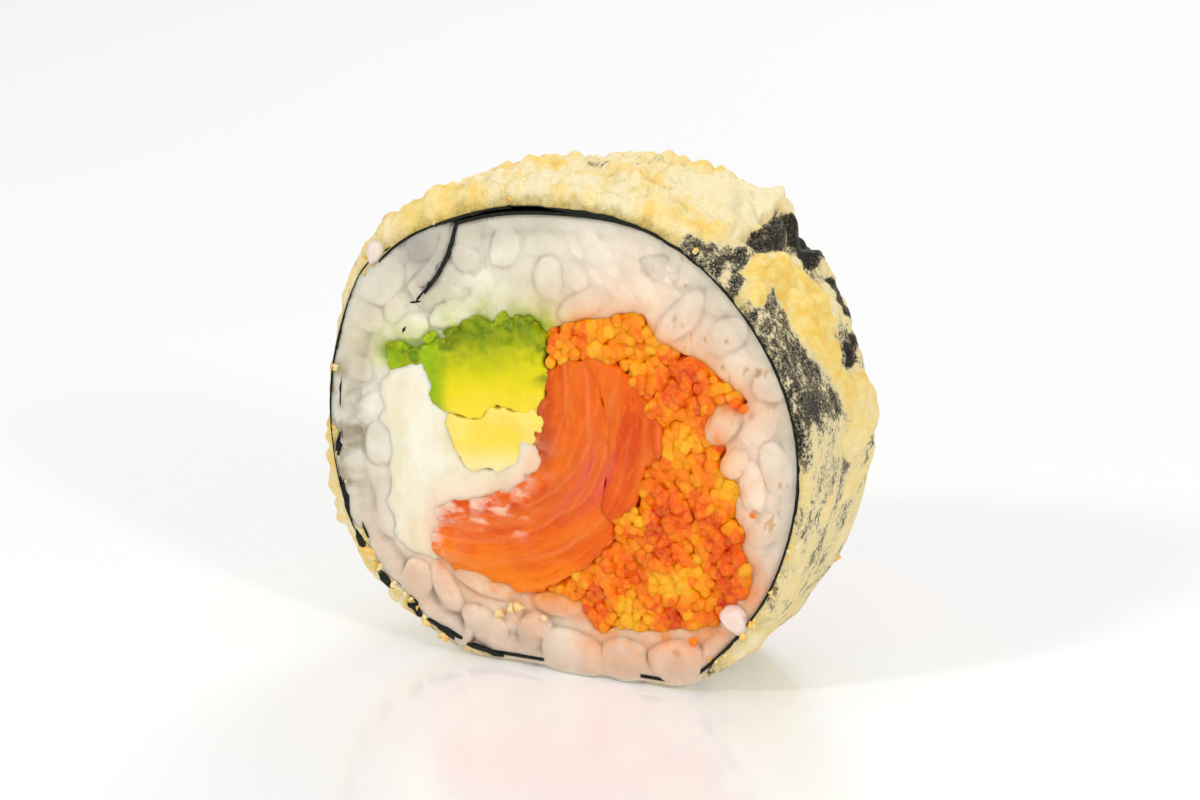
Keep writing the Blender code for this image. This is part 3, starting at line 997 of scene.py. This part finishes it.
def new_cheese():
    region = regions["cream_cheese"]

    def relief(points):
        smear = 0.35 * fractal(points * [1, 1, 0.5], 4.0, 3, 11) + 0.1 * fractal(points, 1.2, 2, 12)
        return rounded_rim(points, region, 0.8, 0.08) + np.minimum(smear, 0.2)

    ball, faces = unit_ball(3)
    corner = pressed_rod(ball, CHEESE_CORNER, CHEESE_CORNER_RADIUS)
    obj = new_filling("cream_cheese", 0.28, 0.75, 0.9, relief, [(corner, faces)])
    points = points_of(obj)
    cloud = fractal(points, 4.0, 3, 13)[:, None]
    colour = mixed(linear(249, 244, 226), linear(241, 231, 204), smooth_step(0.4 + cloud))
    paint(obj, tinted(colour, (255, 190, 150), 0.6 * near(points[:, [0, 2]], 1.2, "salmon_inner")))
    put(obj, "cream_cheese", cheese_material(), "cream_cheese")


def new_avocado(name, seed, colour_of):
    region = regions[name]

    def relief(points):
        dents = 0.3 * fractal(points, 3.0, 3, seed)
        top_edge = smooth_step((points[:, 2] - 30) / 3) * fractal(points, 1.8, 3, seed + 1)
        return rounded_rim(points, region, 0.5, 0.08) + np.minimum(dents + 0.5 * top_edge, 0.16)

    obj = new_filling(name, 0.22, 0.35, AVOCADO_RAGGED, relief)
    paint(obj, colour_of(points_of(obj)))
    put(obj, "avocado", avocado_material(), name)


def upper_avocado_colour(points):
    """Dark green at the skin side, through yellow-green, to yellow."""
    x, _, z = points.T
    height = z + 1.6 * fractal(points, 4.0, 3, 21) - 0.12 * x
    colour = blended(AVOCADO_SHADES, np.interp(height, AVOCADO_HEIGHTS, range(len(AVOCADO_HEIGHTS))))
    colour = tinted(colour, (140, 180, 0), smooth_step((-12.5 - x) / 2))
    skin = np.exp(-np.maximum(regions["avocado_upper"].depth(points[:, [0, 2]]), 0) / 1.2)
    skin *= smooth_step((z - 29) / 2) * smooth_step(0.4 + 2.2 * fractal(points, 1.3, 3, 23))
    return tinted(colour, (72, 108, 0), skin, 0.85)


def lower_avocado_colour(points):
    cloud = fractal(points, 3.0, 3, 22)[:, None]
    colour = mixed(linear(252, 218, 84), linear(252, 226, 120), smooth_step(0.5 + cloud))
    return tinted(colour, (255, 240, 200), 0.7 * smooth_step((23 - points[:, 2]) / 3))


def across_spine(points):
    """How far each point is from the line that the salmon's fold follows, and how far along it."""
    xz = points[:, [0, 2]]
    best = np.full(len(xz), np.inf)
    along = np.zeros(len(xz))
    signed = np.zeros(len(xz))
    passed = 0.0
    for a, b in zip(SALMON_SPINE, SALMON_SPINE[1:]):
        d = b - a
        length = np.hypot(*d)
        t = np.clip(((xz - a) @ d) / length**2, 0, 1)
        off = xz - a - t[:, None] * d
        distance = np.hypot(*off.T)
        turn = np.sign(d[0] * off[:, 1] - d[1] * off[:, 0])
        closer = distance < best
        best = np.where(closer, distance, best)
        along = np.where(closer, passed + t * length, along)
        signed = np.where(closer, turn * distance, signed)
        passed += length
    return signed, along


def fat_lines(points, seed):
    """Thin pale lines that follow the fold, 0 to 1."""
    signed, along = across_spine(points)
    flow = np.column_stack([signed, along / 5, points[:, 1] / 3])
    wander = signed + 1.3 * fractal(flow, 2.0, 3, seed)
    wave = np.abs((wander / 2.7) % 1.0 - 0.5) * 2
    strength = smooth_step(0.55 + 0.9 * fractal(flow, 3.0, 2, seed + 1))
    return smooth_step((wave - 0.72) / 0.25) * strength


def salmon_colour(points, seed):
    """Orange to red, with pink and deep lines along the fold, pale threads and smeared cheese."""
    xz = points[:, [0, 2]]
    x, z = xz.T
    signed, along = across_spine(points)
    cloud = fractal(points, 3.6, 3, seed + 3)
    flow = np.column_stack([signed, along / 6, points[:, 1] / 3])
    fibre = fractal(flow, 1.1, 3, seed + 7)
    red = smooth_step(0.5 + 0.8 * cloud + 0.8 * fibre)[:, None]
    colour = mixed(linear(236, 100, 0), linear(216, 70, 0), red)
    colour = tinted(colour, (250, 128, 0), smooth_step((13.5 - z + 2.5 * cloud) / 3.5))
    edge = smooth_step((-0.5 - x) / 2) * smooth_step((z - 20.5) / 2)
    colour = tinted(colour, (176, 64, 6), 0.8 * edge)
    pink = bell(signed + 0.4 * cloud, -1.2, 0.8) * bell(along, 14.5, 4.5)
    pink += 0.8 * bell(signed + 0.4 * cloud, 1.0, 0.6) * bell(along, 13.0, 3.5)
    colour = tinted(colour, (224, 72, 78), 1.3 * pink, 0.9)
    colour = tinted(colour, (196, 50, 0), 1.1 * bell(signed, -2.6, 0.7) * bell(along, 17, 5.0), 0.7)
    bright = smooth_step((fractal(flow, 2.2, 3, seed + 8) - 0.05) / 0.3)
    colour = tinted(colour, (250, 132, 30), 0.4 * bright)
    colour = tinted(colour, (252, 160, 104), 0.3 * fat_lines(points, seed))
    marble = smooth_step((-2.5 - x) / 3) * smooth_step((z - 12.6) / 2.5)
    streaky = points * [0.45, 0.6, 1.5] + (0.5 * cloud)[:, None]
    threads = smooth_step((fractal(streaky, 1.1, 4, seed + 5) + 0.02) / 0.4)
    colour = tinted(colour, (255, 214, 186), 0.85 * marble * threads)
    smeared = smooth_step((fractal(points * [0.8, 1, 1.4], 1.3, 4, seed + 6) + 0.25) / 0.4)
    return tinted(colour, (255, 238, 220), 0.9 * near(xz, 1.1, "cream_cheese") * smeared)


def new_salmon(name, seed):
    region = regions[name]

    def relief(points):
        signed, _ = across_spine(points)
        folds = 0.26 * np.sin(signed * 1.3 + 1.2 * fractal(points, 6.0, 2, seed))
        return rounded_rim(points, region, 0.7, 0.08) + folds + 0.14 * fractal(points, 1.6, 4, seed + 2)

    obj = new_filling(name, 0.24, 0.4, 0.6, relief)
    points = points_of(obj)
    signed, along = across_spine(points)
    measure(obj, "across", signed / 0.7)
    measure(obj, "along", along / 4)
    paint(obj, salmon_colour(points, seed))
    put(obj, "salmon", salmon_material(), name)


# Fish roe


def egg_colours(rng, places):
    """Yellow-orange to red, in clusters."""
    value = 0.44 + 0.7 * fractal(places, 3.6, 3, 51) + rng.normal(0, 0.12, len(places))
    return blended(EGG_SHADES, np.clip(value, 0, 1) * (len(EGG_SHADES) - 1))


def egg_field(rng, layer):
    """Places of eggs over the roe's cut, as (x, depth, z), and their radii."""
    low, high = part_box("fish_roe")
    across = np.arange(low.x / MM, high.x / MM, EGG_PITCH)
    up = np.arange(low.z / MM, high.z / MM, EGG_PITCH * 0.87)
    x, z = np.meshgrid(across, up, indexing="ij")
    x = x + EGG_PITCH / 2 * (np.arange(len(up)) % 2)
    xz = np.column_stack([x.ravel(), z.ravel()]) + rng.uniform(0, EGG_PITCH, 2)
    xz += rng.uniform(-0.35, 0.35, xz.shape)
    xz = xz[regions["fish_roe"].depth(xz) > 0.1]
    radius = rng.uniform(*EGG_RADIUS, len(xz)) * rng.choice([1, 1, 1, 1, 1.6], len(xz))
    hollow = 0.45 + 1.2 * fractal(np.column_stack([xz, np.full(len(xz), 9.0)]), 3.4, 2, 52)
    depth = radius + np.clip(hollow, -0.05, 1.5) + EGG_LAYER * layer + rng.uniform(-0.15, 0.3, len(xz))
    return np.column_stack([xz[:, 0], depth, xz[:, 1]]), radius


def nearest_values(points, places, values):
    """Each point's value from the nearest of the places."""
    tree = KDTree(len(places))
    for k, place in enumerate(places):
        tree.insert(place, k)
    tree.balance()
    return values[[tree.find(p)[1] for p in points]]


def new_roe():
    """Single eggs in two layers at both cuts, fused with a core that ends below them."""
    rng = np.random.default_rng(21)
    ball, ball_faces = unit_ball(2)
    solids = [core_of("fish_roe", ROE_INSET)]
    middles, shades = [], []
    for side, layer in product((1, -1), range(2)):
        places, radii = egg_field(rng, layer)
        shades.append(egg_colours(rng, places))
        for place, radius in zip(places, radii):
            points = ball * radius * rng.uniform(0.85, 1.3, 3) + place
            solids.append(at_cut(points, ball_faces, side))
        middles.append(at_cut(places, (), side)[0])
    roe = fused("roe_heap", solids, EGG_CELL)
    set_points(roe, relaxed(roe, 0.5, 4))
    points = points_of(roe)
    points[:, [0, 2]] += ROE_SWELL * normals_of(roe)[:, [0, 2]]
    set_points(roe, points)
    thinned(roe, smooth_step((np.abs(points[:, 1]) - ROE_HIDDEN) / 0.6), ROE_TRIANGLES)
    points = points_of(roe)
    colour = nearest_values(points, np.concatenate(middles), np.concatenate(shades))
    below = hollows(roe, 5)
    deep = smooth_step((HALF_LENGTH - 1.1 - np.abs(points[:, 1])) / 0.8)
    # Painted light: the eggs' bulges are painted lighter yellow as a highlight, and the creases between them
    # deeper orange as shade
    colour = tinted(colour, (255, 190, 56), 0.45 * smooth_step(-below / 0.12))
    colour = tinted(colour, (240, 96, 0), 0.5 * smooth_step(below / 0.09 + 0.1))
    # From 1.1 mm below the cut inward the roe is painted dark red: partly the gel's own colour, partly
    # painted shade in the pockets
    paint(roe, tinted(colour, (196, 36, 0), 0.7 * deep))
    put(roe, "fish_roe", egg_look, "fish_roe")


# Nori


def new_nori_edge():
    """The sheet's torn edge at both cuts: a ribbon over its smooth edge, of uneven thickness."""
    path = roll_path(NORI_COLUMNS)
    outward = outward_of(path)
    clock = clock_of(path)
    place = np.column_stack([path[:, 0], np.zeros(NORI_COLUMNS), path[:, 1]])
    rough = fractal(place, 1.2, 4, 61)
    wide = 0.2 + 0.1 * fractal(place, 7.0, 2, 62) + 0.12 * rough
    doubled = np.maximum(band(clock, -10, 8, 42, 12), band(clock, -36, 4, -14, 5))
    wide = (wide + 0.2 * doubled) * (1 - 0.8 * band(clock, -24, 8, 1, 8))
    torn = smooth_step((fractal(place, 3.0, 2, 63) - 0.15) / 0.15)
    wide += band(clock, -152, 8, -70, 10) * (0.4 * torn - 0.2)
    left, bottom = past_nori(clock)
    wide = np.maximum(wide * (1 - bottom), 0.06)
    inset = NORI_INSET - 0.95 * left
    profile = ((0.0, 2.0), (0.0, 0.12), (0.1, -0.02), (0.5, -0.06), (0.9, 0.0), (1.0, 0.15), (1.0, 2.0))
    for side, name in ((-1, "nori_edge_front"), (1, "nori_edge_back")):
        rows = []
        for share, depth in profile:
            y = side * (HALF_LENGTH + 0.02 + 0.16 * left - 0.9 * bottom - depth + 0.05 * rough)
            xz = path - outward * (inset + share * wide)[:, None]
            rows.append(np.column_stack([xz[:, 0], y, xz[:, 1]]))
        put(tube(name, rows, side), "nori", nori_look)


def roll_path(count):
    """The crust's inner outline as evenly spaced points, clockwise from the top."""
    inner = cut_outlines("batter_crust")[-1]
    return round_smoothed(resampled(inner, count), count // 60)


def outward_of(path):
    """Unit vectors outward of a closed clockwise path."""
    along = np.roll(path, -1, axis=0) - np.roll(path, 1, axis=0)
    along /= np.hypot(*along.T)[:, None]
    return np.column_stack([-along[:, 1], along[:, 0]])


def tube(name, rows, side=-1):
    """A closed ring surface through rows of points, each row a closed loop; side 1 is for the back."""
    count = len(rows[0])
    faces = []
    for r in range(len(rows)):
        a = r * count
        b = ((r + 1) % len(rows)) * count
        for k in range(count):
            after = (k + 1) % count
            face = [a + k, a + after, b + after, b + k]
            faces.append(face if side < 0 else face[::-1])
    return new_mesh_object(name, np.concatenate(rows), faces)


# Crust

def zone(flat, *polygons):
    """How many mm inside the nearest polygon each point of the unrolled crust lies; negative outside."""
    parts = [Region([np.array(polygon, float) * [MM_PER_DEGREE, 1.0]]) for polygon in polygons]
    return np.max([part.depth(flat) for part in parts], axis=0)


def crust_thickness(path, outward, depths):
    """The CAD crust's thickness outward of each path point, at each depth."""
    points, faces = node_points("batter_crust")
    tree = BVHTree.FromPolygons(points.tolist(), faces)
    thick = np.empty((len(depths), len(path)))
    for r, y in enumerate(np.clip(depths, 0.1, 2 * HALF_LENGTH - 0.1) - HALF_LENGTH):
        for k, (p, o) in enumerate(zip(path, outward)):
            start = Vector((p[0] + RAY_START * o[0], y, p[1] + RAY_START * o[1]))
            hit = tree.ray_cast(start, Vector((-o[0], 0, -o[1])))
            thick[r, k] = RAY_MISSED if hit[0] is None else RAY_START - hit[3]
    thick = round_smoothed(thick.T, 4).T
    for _ in range(4):
        padded = np.vstack([thick[:1], thick, thick[-1:]])
        thick = (padded[:-2] + 2 * padded[1:-1] + padded[2:]) / 4
    return thick


def crust_zones(base, flat, drip_depth):
    """Where the crust is a drip, bare, dark, torn, or hollow, each from 0 to 1 with a ragged edge."""
    ragged = 0.7 * fractal(base, 1.8, 4, 70)
    drip = smooth_step((drip_depth + 0.5 * ragged) / 0.5)
    bare = smooth_step((zone(flat, BARE) + 0.5 + ragged) / 0.9)
    dark = smooth_step((zone(flat, DARK) + 0.3 + ragged) / 1.2)
    torn = smooth_step((zone(flat, TORN) + 0.2 + ragged) / 0.6)
    torn = np.maximum(torn, smooth_step((zone(flat, SPECKLED) + 0.5 + 1.4 * ragged) / 1.6))
    torn = np.maximum(torn, smooth_step((zone(flat, RIM_DUST) + 0.4 + ragged) / 0.8))
    hollow = smooth_step((zone(flat, TOP_HOLLOW) + 1.5 * ragged) / 2.0)
    return drip, bare, dark, torn, hollow


def crust_looks(base, flat, thick):
    """The crust's height over the nori, and how opaque and how golden it is, as tables by row and column."""
    clock = flat[:, 0] / MM_PER_DEGREE
    depth = flat[:, 1]
    drip_depth = zone(flat, DRIP, BLOB)
    drip, bare, dark, torn, hollow = crust_zones(base, flat, drip_depth)
    clumps = fractal(base, 3.2, 4, 71)
    body = smooth_step((thick - 0.6) / 1.2 + 0.45 * clumps)
    lumpy = 1.6 * np.abs(fractal(base, 2.4, 1, 73)) + 1.0 * np.abs(fractal(base, 1.2, 1, 79))
    lumpy += 0.25 * np.abs(fractal(base, 0.65, 1, 80)) + 1.3 * fractal(base, 3.6, 2, 74) - 0.65

    wrinkled = 0.14 * fractal(base * [1, 0.45, 1], 1.3, 4, 75)
    height = thick + body * lumpy * np.clip(thick / 2.2, 0.3, 1.1) + (1 - body) * wrinkled
    swollen = 0.2 + 0.5 * smooth_step(drip_depth / 1.5) + 0.25 * fractal(base, 2.0, 3, 81)
    height += drip * swollen - 0.28 * bare - 0.14 * dark - 0.15 * torn
    height -= 0.85 * (band(clock, 60, 12, 140, 15) * smooth_step((depth - 5) / 7))
    height *= 1 - 0.22 * bell(np.minimum(depth, 2 * HALF_LENGTH - depth), 0, 0.6)
    height += 0.7 * band(clock, -72, 10, -36, 10)
    height += 1.1 * bell(clock, 35.5, 3.5) * bell(depth, 14, 4.5) * (1 - bare)

    on_top = band(clock, -50, 15, 48, 10)
    behind = on_top * band(depth, 5, 3, 15, 3)
    before = on_top * smooth_step((5 - depth) / 2)
    beyond = band(clock, 46, 4, 100, 10) * smooth_step((depth - 9) / 3)
    batter = 0.58 + 0.16 * clumps + 0.45 * body
    batter = mixed(batter, 0.42 + 0.2 * clumps, hollow)
    batter = mixed(batter, 0.26 + 0.24 * clumps, dark)
    batter = mixed(batter, 0.3 + 0.25 * clumps, torn)
    batter = mixed(batter, -0.05 + 0.1 * clumps, bare)
    batter = mixed(batter, 1.0, drip)
    batter += 0.3 * body * smooth_step(2.4 * fractal(base, 2.6, 3, 82) - 0.5)
    batter -= 0.3 * body * smooth_step(-0.1 - 1.4 * lumpy) * (1 - drip)
    batter += 0.15 * behind * body - 0.3 * beyond * (1 - drip)

    spots = smooth_step(0.3 + 0.7 * lumpy + 1.6 * fractal(base, 3.4, 4, 78))
    spots = mixed(spots, 0.25 * spots, behind)
    streaks = smooth_step(1.0 + 2.2 * fractal(base * [0.6, 1, 1.4], 3.6, 3, 83))
    spots = mixed(spots, streaks, before)
    covered = (1 - hollow) * (1 - dark) * (1 - bare) * (1 - torn) * (1 - beyond)
    gold = (0.06 + 0.8 * spots) * body * covered
    gold = mixed(gold, 0.95 - 0.5 * smooth_step((clock - 72) / 14), drip)
    looks = (np.maximum(height, THINNEST_CRUST), batter, np.clip(gold, 0, 1))
    return [values.reshape(CRUST_ROWS, CRUST_COLUMNS) for values in looks]


def new_crust():
    """The crust as one closed ring: rows of points from the front rim over the outside to the back rim."""
    path = roll_path(CRUST_COLUMNS)
    outward = outward_of(path)
    clock = clock_of(path)
    depths = np.linspace(FIRST_ROW, 2 * HALF_LENGTH - FIRST_ROW, CRUST_ROWS)
    thick = crust_thickness(path, outward, depths)
    flat = np.column_stack([np.tile(clock, CRUST_ROWS) * MM_PER_DEGREE, np.repeat(depths, CRUST_COLUMNS)])
    ring = np.column_stack([path[:, 0], np.zeros(CRUST_COLUMNS), path[:, 1]])
    base = np.tile(ring, (CRUST_ROWS, 1))
    base[:, 1] = np.repeat(depths - HALF_LENGTH, CRUST_COLUMNS)
    height, batter, gold = crust_looks(base, flat, thick.ravel())
    left, bottom = past_nori(clock)
    drawn_back = 1 - 0.05 * bottom - 0.015 * left
    rows, looks = [], []

    def add_row(share, r, y, toast):
        """One loop at that share of row r's height and at y along the roll, with how toasted it is."""
        out = share * (height[r] + CRUST_INSET) - CRUST_INSET
        xz = path + outward * out[:, None]
        rows.append(np.column_stack([xz[:, 0], y * drawn_back, xz[:, 1]]))
        looks.append((batter[r], gold[r], toast + 0 * clock))

    def add_rim(side, r):
        """The cut rim, from the nori out to the crust's surface in front, and back again behind."""
        shares = np.linspace(0, 1, RIM_ROWS, endpoint=False)
        full = np.minimum(height[r] / 1.5, 1)
        for share in shares if side < 0 else shares[::-1]:
            place = ring + [0, 30 * side, 0]
            place[:, [0, 2]] += outward * (share * height[r])[:, None]
            bulge = 0.3 * math.sin(math.pi * min(1.0, share + 0.15)) * full - 0.25 * share**3
            bulge = bulge + 0.24 * fractal(place, 1.3, 4, 76) * full * (1 - share**2)
            toast = (1 - share * np.maximum(height[r], 0.8) / 1.3) + 0.6 * fractal(place, 1.6, 3, 77)
            toast = smooth_step(toast) * full * smooth_step((batter[r] - 0.3) / 0.3)
            add_row(share, r, side * (HALF_LENGTH - 0.1 + bulge), toast)

    add_rim(-1, 0)
    for r, depth in enumerate(depths):
        add_row(1.0, r, depth - HALF_LENGTH, 0.0)
    add_rim(1, CRUST_ROWS - 1)
    crust = tube("batter", rows)
    for name, values in zip(("batter", "gold", "toast"), zip(*looks)):
        measure(crust, name, np.concatenate(values))
    put(crust, "fried_batter", crust_material(), "batter_crust")


# Loose things


def new_loose(name, slot, material, shapes):
    """One piece of loose things, each given as points, faces and a linear colour."""
    points, faces = joined([shape[:2] for shape in shapes])
    points[:, 1] = np.clip(points[:, 1], -MOST_FORWARD, MOST_FORWARD)
    obj = new_mesh_object(name, points, faces)
    paint(obj, np.concatenate([np.tile(colour, (len(shape), 1)) for shape, _, colour in shapes]))
    put(obj, slot, material)


def lumped(ball, rng, stretch):
    """A ball with random lumps, finer where stretch is larger."""
    start = rng.uniform(0, 50, 3)
    return ball * (1 + 0.9 * fractal(ball * stretch + start, 1.0, 3, 6))[:, None]


def crumb(ball, rng, size):
    """A rough crumb about size mm across."""
    return turned(lumped(ball, rng, 1.2) * size / 2 * rng.uniform(0.6, 1.2, 3), *rng.uniform(0, 6, 3))


def new_loose_rice():
    rng = np.random.default_rng(31)
    ball, faces = unit_ball(4)
    shapes = []
    for x, y, z, length, width, angle, colour in LOOSE_GRAINS:
        shape = turned(grain_shape(ball, rng, length, width), 0.3, 0.2, math.radians(angle))
        shapes.append((shape + [x, y, z], faces, linear(*colour)))
    new_loose("loose_rice", "rice", rice_look, shapes)


def new_loose_eggs():
    rng = np.random.default_rng(32)
    ball, faces = unit_ball(3)
    shapes = []
    for x, y, z, size, colour in LOOSE_EGGS:
        shape = crumb(ball, rng, 1.0) * 0.3 + ball * size * 0.4
        shapes.append((shape + [x, y, z], faces, linear(*colour)))
    new_loose("loose_eggs", "fish_roe", egg_look, shapes)


def new_crumbs():
    """Crumbs of crust along the rims, most of them at the lower left, and some among the bottom grains."""
    rng = np.random.default_rng(33)
    ball, faces = unit_ball(2)
    path = roll_path(CRUMB_PLACES)
    outward = outward_of(path)
    shapes = []
    for first, last, count, largest, highest in CRUMB_STRIPS:
        for _ in range(count):
            size = largest * rng.uniform(0.35, 1.0)
            k = int(np.argmin(np.abs(clock_of(path) - rng.uniform(first, last))))
            x, z = path[k] + outward[k] * rng.uniform(-0.3, highest)
            y = rng.choice([-1, -1, 1]) * (HALF_LENGTH + rng.uniform(-0.15, 0.1) - 0.2 * size)
            gold = rng.random()
            shapes.append((crumb(ball, rng, size) + [x, y, z], faces, (gold, 1.0, 0.0)))
    for x, z, size in BOTTOM_CRUMBS:
        shapes.append((crumb(ball, rng, size) + [x, 0.2 - HALF_LENGTH, z], faces, (0.3, 1.0, 0.0)))
    new_loose("crumbs", "fried_batter", crumb_material(), shapes)


def new_avocado_bits():
    """Torn bits of avocado along its top edge, among the rice grains."""
    rng = np.random.default_rng(35)
    ball, faces = unit_ball(3)
    shapes = []
    for x, z, size, colour in AVOCADO_BITS:
        shapes.append((crumb(ball, rng, size) + [x, 0.7 - HALF_LENGTH, z], faces, linear(*colour)))
    new_loose("avocado_bits", "avocado", avocado_material(), shapes)


def new_nori_bits():
    """Torn bits of nori at the lower left rim and twigs at the end of the flap."""
    rng = np.random.default_rng(34)
    ball, faces = unit_ball(2)
    shapes = []
    for x, z, length, width, angle in NORI_BITS:
        shape = lumped(ball, rng, [3, 1, 1]) * [length / 2, width / 2, width / 2]
        shape = turned(shape, 0.0, 0.0, math.radians(angle))
        shape[:, 1] *= 0.5
        shapes.append((shape + [x, -HALF_LENGTH - 0.1, z], faces, np.zeros(3)))
    new_loose("nori_bits", "nori", nori_look, shapes)


# Stage


def new_stage():
    """A plain pale glossy floor, soft light all round and a soft key light."""
    corners = FLOOR_REACH * np.array([(-1, -1, 0), (1, -1, 0), (1, 1, 0), (-1, 1, 0)])
    floor = new_mesh_object("floor", corners, [[0, 1, 2, 3]])
    floor.data.transform(Matrix.Scale(MM, 4))
    floor.location.z = -FLOOR_DROP * MM
    floor.data.materials.append(floor_material())
    bpy.context.scene.world = studio_light()
    for name, place, size, energy in LAMPS:
        light = bpy.data.lights.new(name, "AREA")
        light.shape = "DISK"
        light.size = size
        light.energy = energy
        lamp = bpy.data.objects.new(name, light)
        lamp.location = place
        aim = Vector(LAMP_AIM) - Vector(place)
        lamp.rotation_euler = aim.to_track_quat("-Z", "Y").to_euler()
        bpy.context.scene.collection.objects.link(lamp)


def studio_light():
    """A white room, brighter low down all round than overhead."""
    world = bpy.data.worlds.new("studio")
    world.use_nodes = True
    tree = world.node_tree
    direction = tree.nodes.new("ShaderNodeTexCoord").outputs["Generated"]
    parts = tree.nodes.new("ShaderNodeSeparateXYZ")
    tree.links.new(direction, parts.inputs[0])
    fall = tree.nodes.new("ShaderNodeMapRange")
    fall.interpolation_type = "SMOOTHSTEP"
    limits = {"From Min": 0.3, "From Max": 0.7, "To Min": WALL_LIGHT, "To Max": CEILING_LIGHT}
    for socket, value in limits.items():
        fall.inputs[socket].default_value = value
    tree.links.new(parts.outputs["Z"], fall.inputs["Value"])
    background = tree.nodes["Background"]
    background.inputs["Color"].default_value = (1, 1, 1, 1)
    tree.links.new(fall.outputs[0], background.inputs["Strength"])
    return world


def new_camera():
    """The photo's view: the axes of the picture, and the distance that gives its scale."""
    a, e = math.radians(AZIMUTH), math.radians(ELEVATION)
    right = Vector((math.cos(a), math.sin(a), 0))
    up = Vector((-math.sin(a) * math.sin(e), math.cos(a) * math.sin(e), math.cos(e)))
    back = right.cross(up)
    data = bpy.data.cameras.new("photo_camera")
    data.lens = LENS
    data.sensor_width = SENSOR
    data.clip_start = 0.01
    data.clip_end = 20
    camera = bpy.data.objects.new("photo_camera", data)
    camera.matrix_world = Matrix((right, up, back)).transposed().to_4x4()
    camera.location = (Vector(FACE_MIDDLE) + FRAME_RIGHT * right + FRAME_UP * up + DISTANCE * back) * MM
    bpy.context.scene.collection.objects.link(camera)
    bpy.context.scene.camera = camera


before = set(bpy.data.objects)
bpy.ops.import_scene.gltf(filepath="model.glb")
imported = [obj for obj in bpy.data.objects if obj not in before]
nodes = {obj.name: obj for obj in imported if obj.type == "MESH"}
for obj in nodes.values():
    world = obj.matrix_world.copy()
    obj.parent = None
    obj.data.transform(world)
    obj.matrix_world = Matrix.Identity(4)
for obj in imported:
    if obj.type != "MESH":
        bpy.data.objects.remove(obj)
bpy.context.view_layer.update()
names = ("fish_roe", "salmon_inner", "salmon_outer", "avocado_upper", "avocado_lower", "cream_cheese")
regions = {name: Region(cut_outlines(name)) for name in names}
# The rice's outlines are its outside and the rims of the fillings
rice_outlines = cut_outlines("rice")
regions["rice"] = Region(rice_outlines)
regions["roll"] = Region(rice_outlines[:1])
regions["fillings"] = Region(rice_outlines[1:])

nori_look = nori_material()
rice_look = rice_material()
egg_look = egg_material()
new_rice()
new_cheese()
new_avocado("avocado_upper", 14, upper_avocado_colour)
new_avocado("avocado_lower", 15, lower_avocado_colour)
new_salmon("salmon_inner", 31)
new_salmon("salmon_outer", 37)
new_roe()
nodes["nori_sheet"].data.materials.clear()
nodes["nori_sheet"].data.materials.append(nori_look)
new_nori_edge()
new_crust()
new_loose_rice()
new_loose_eggs()
new_crumbs()
new_avocado_bits()
new_nori_bits()
new_stage()
new_camera()
bpy.context.scene.view_settings.view_transform = "Standard"
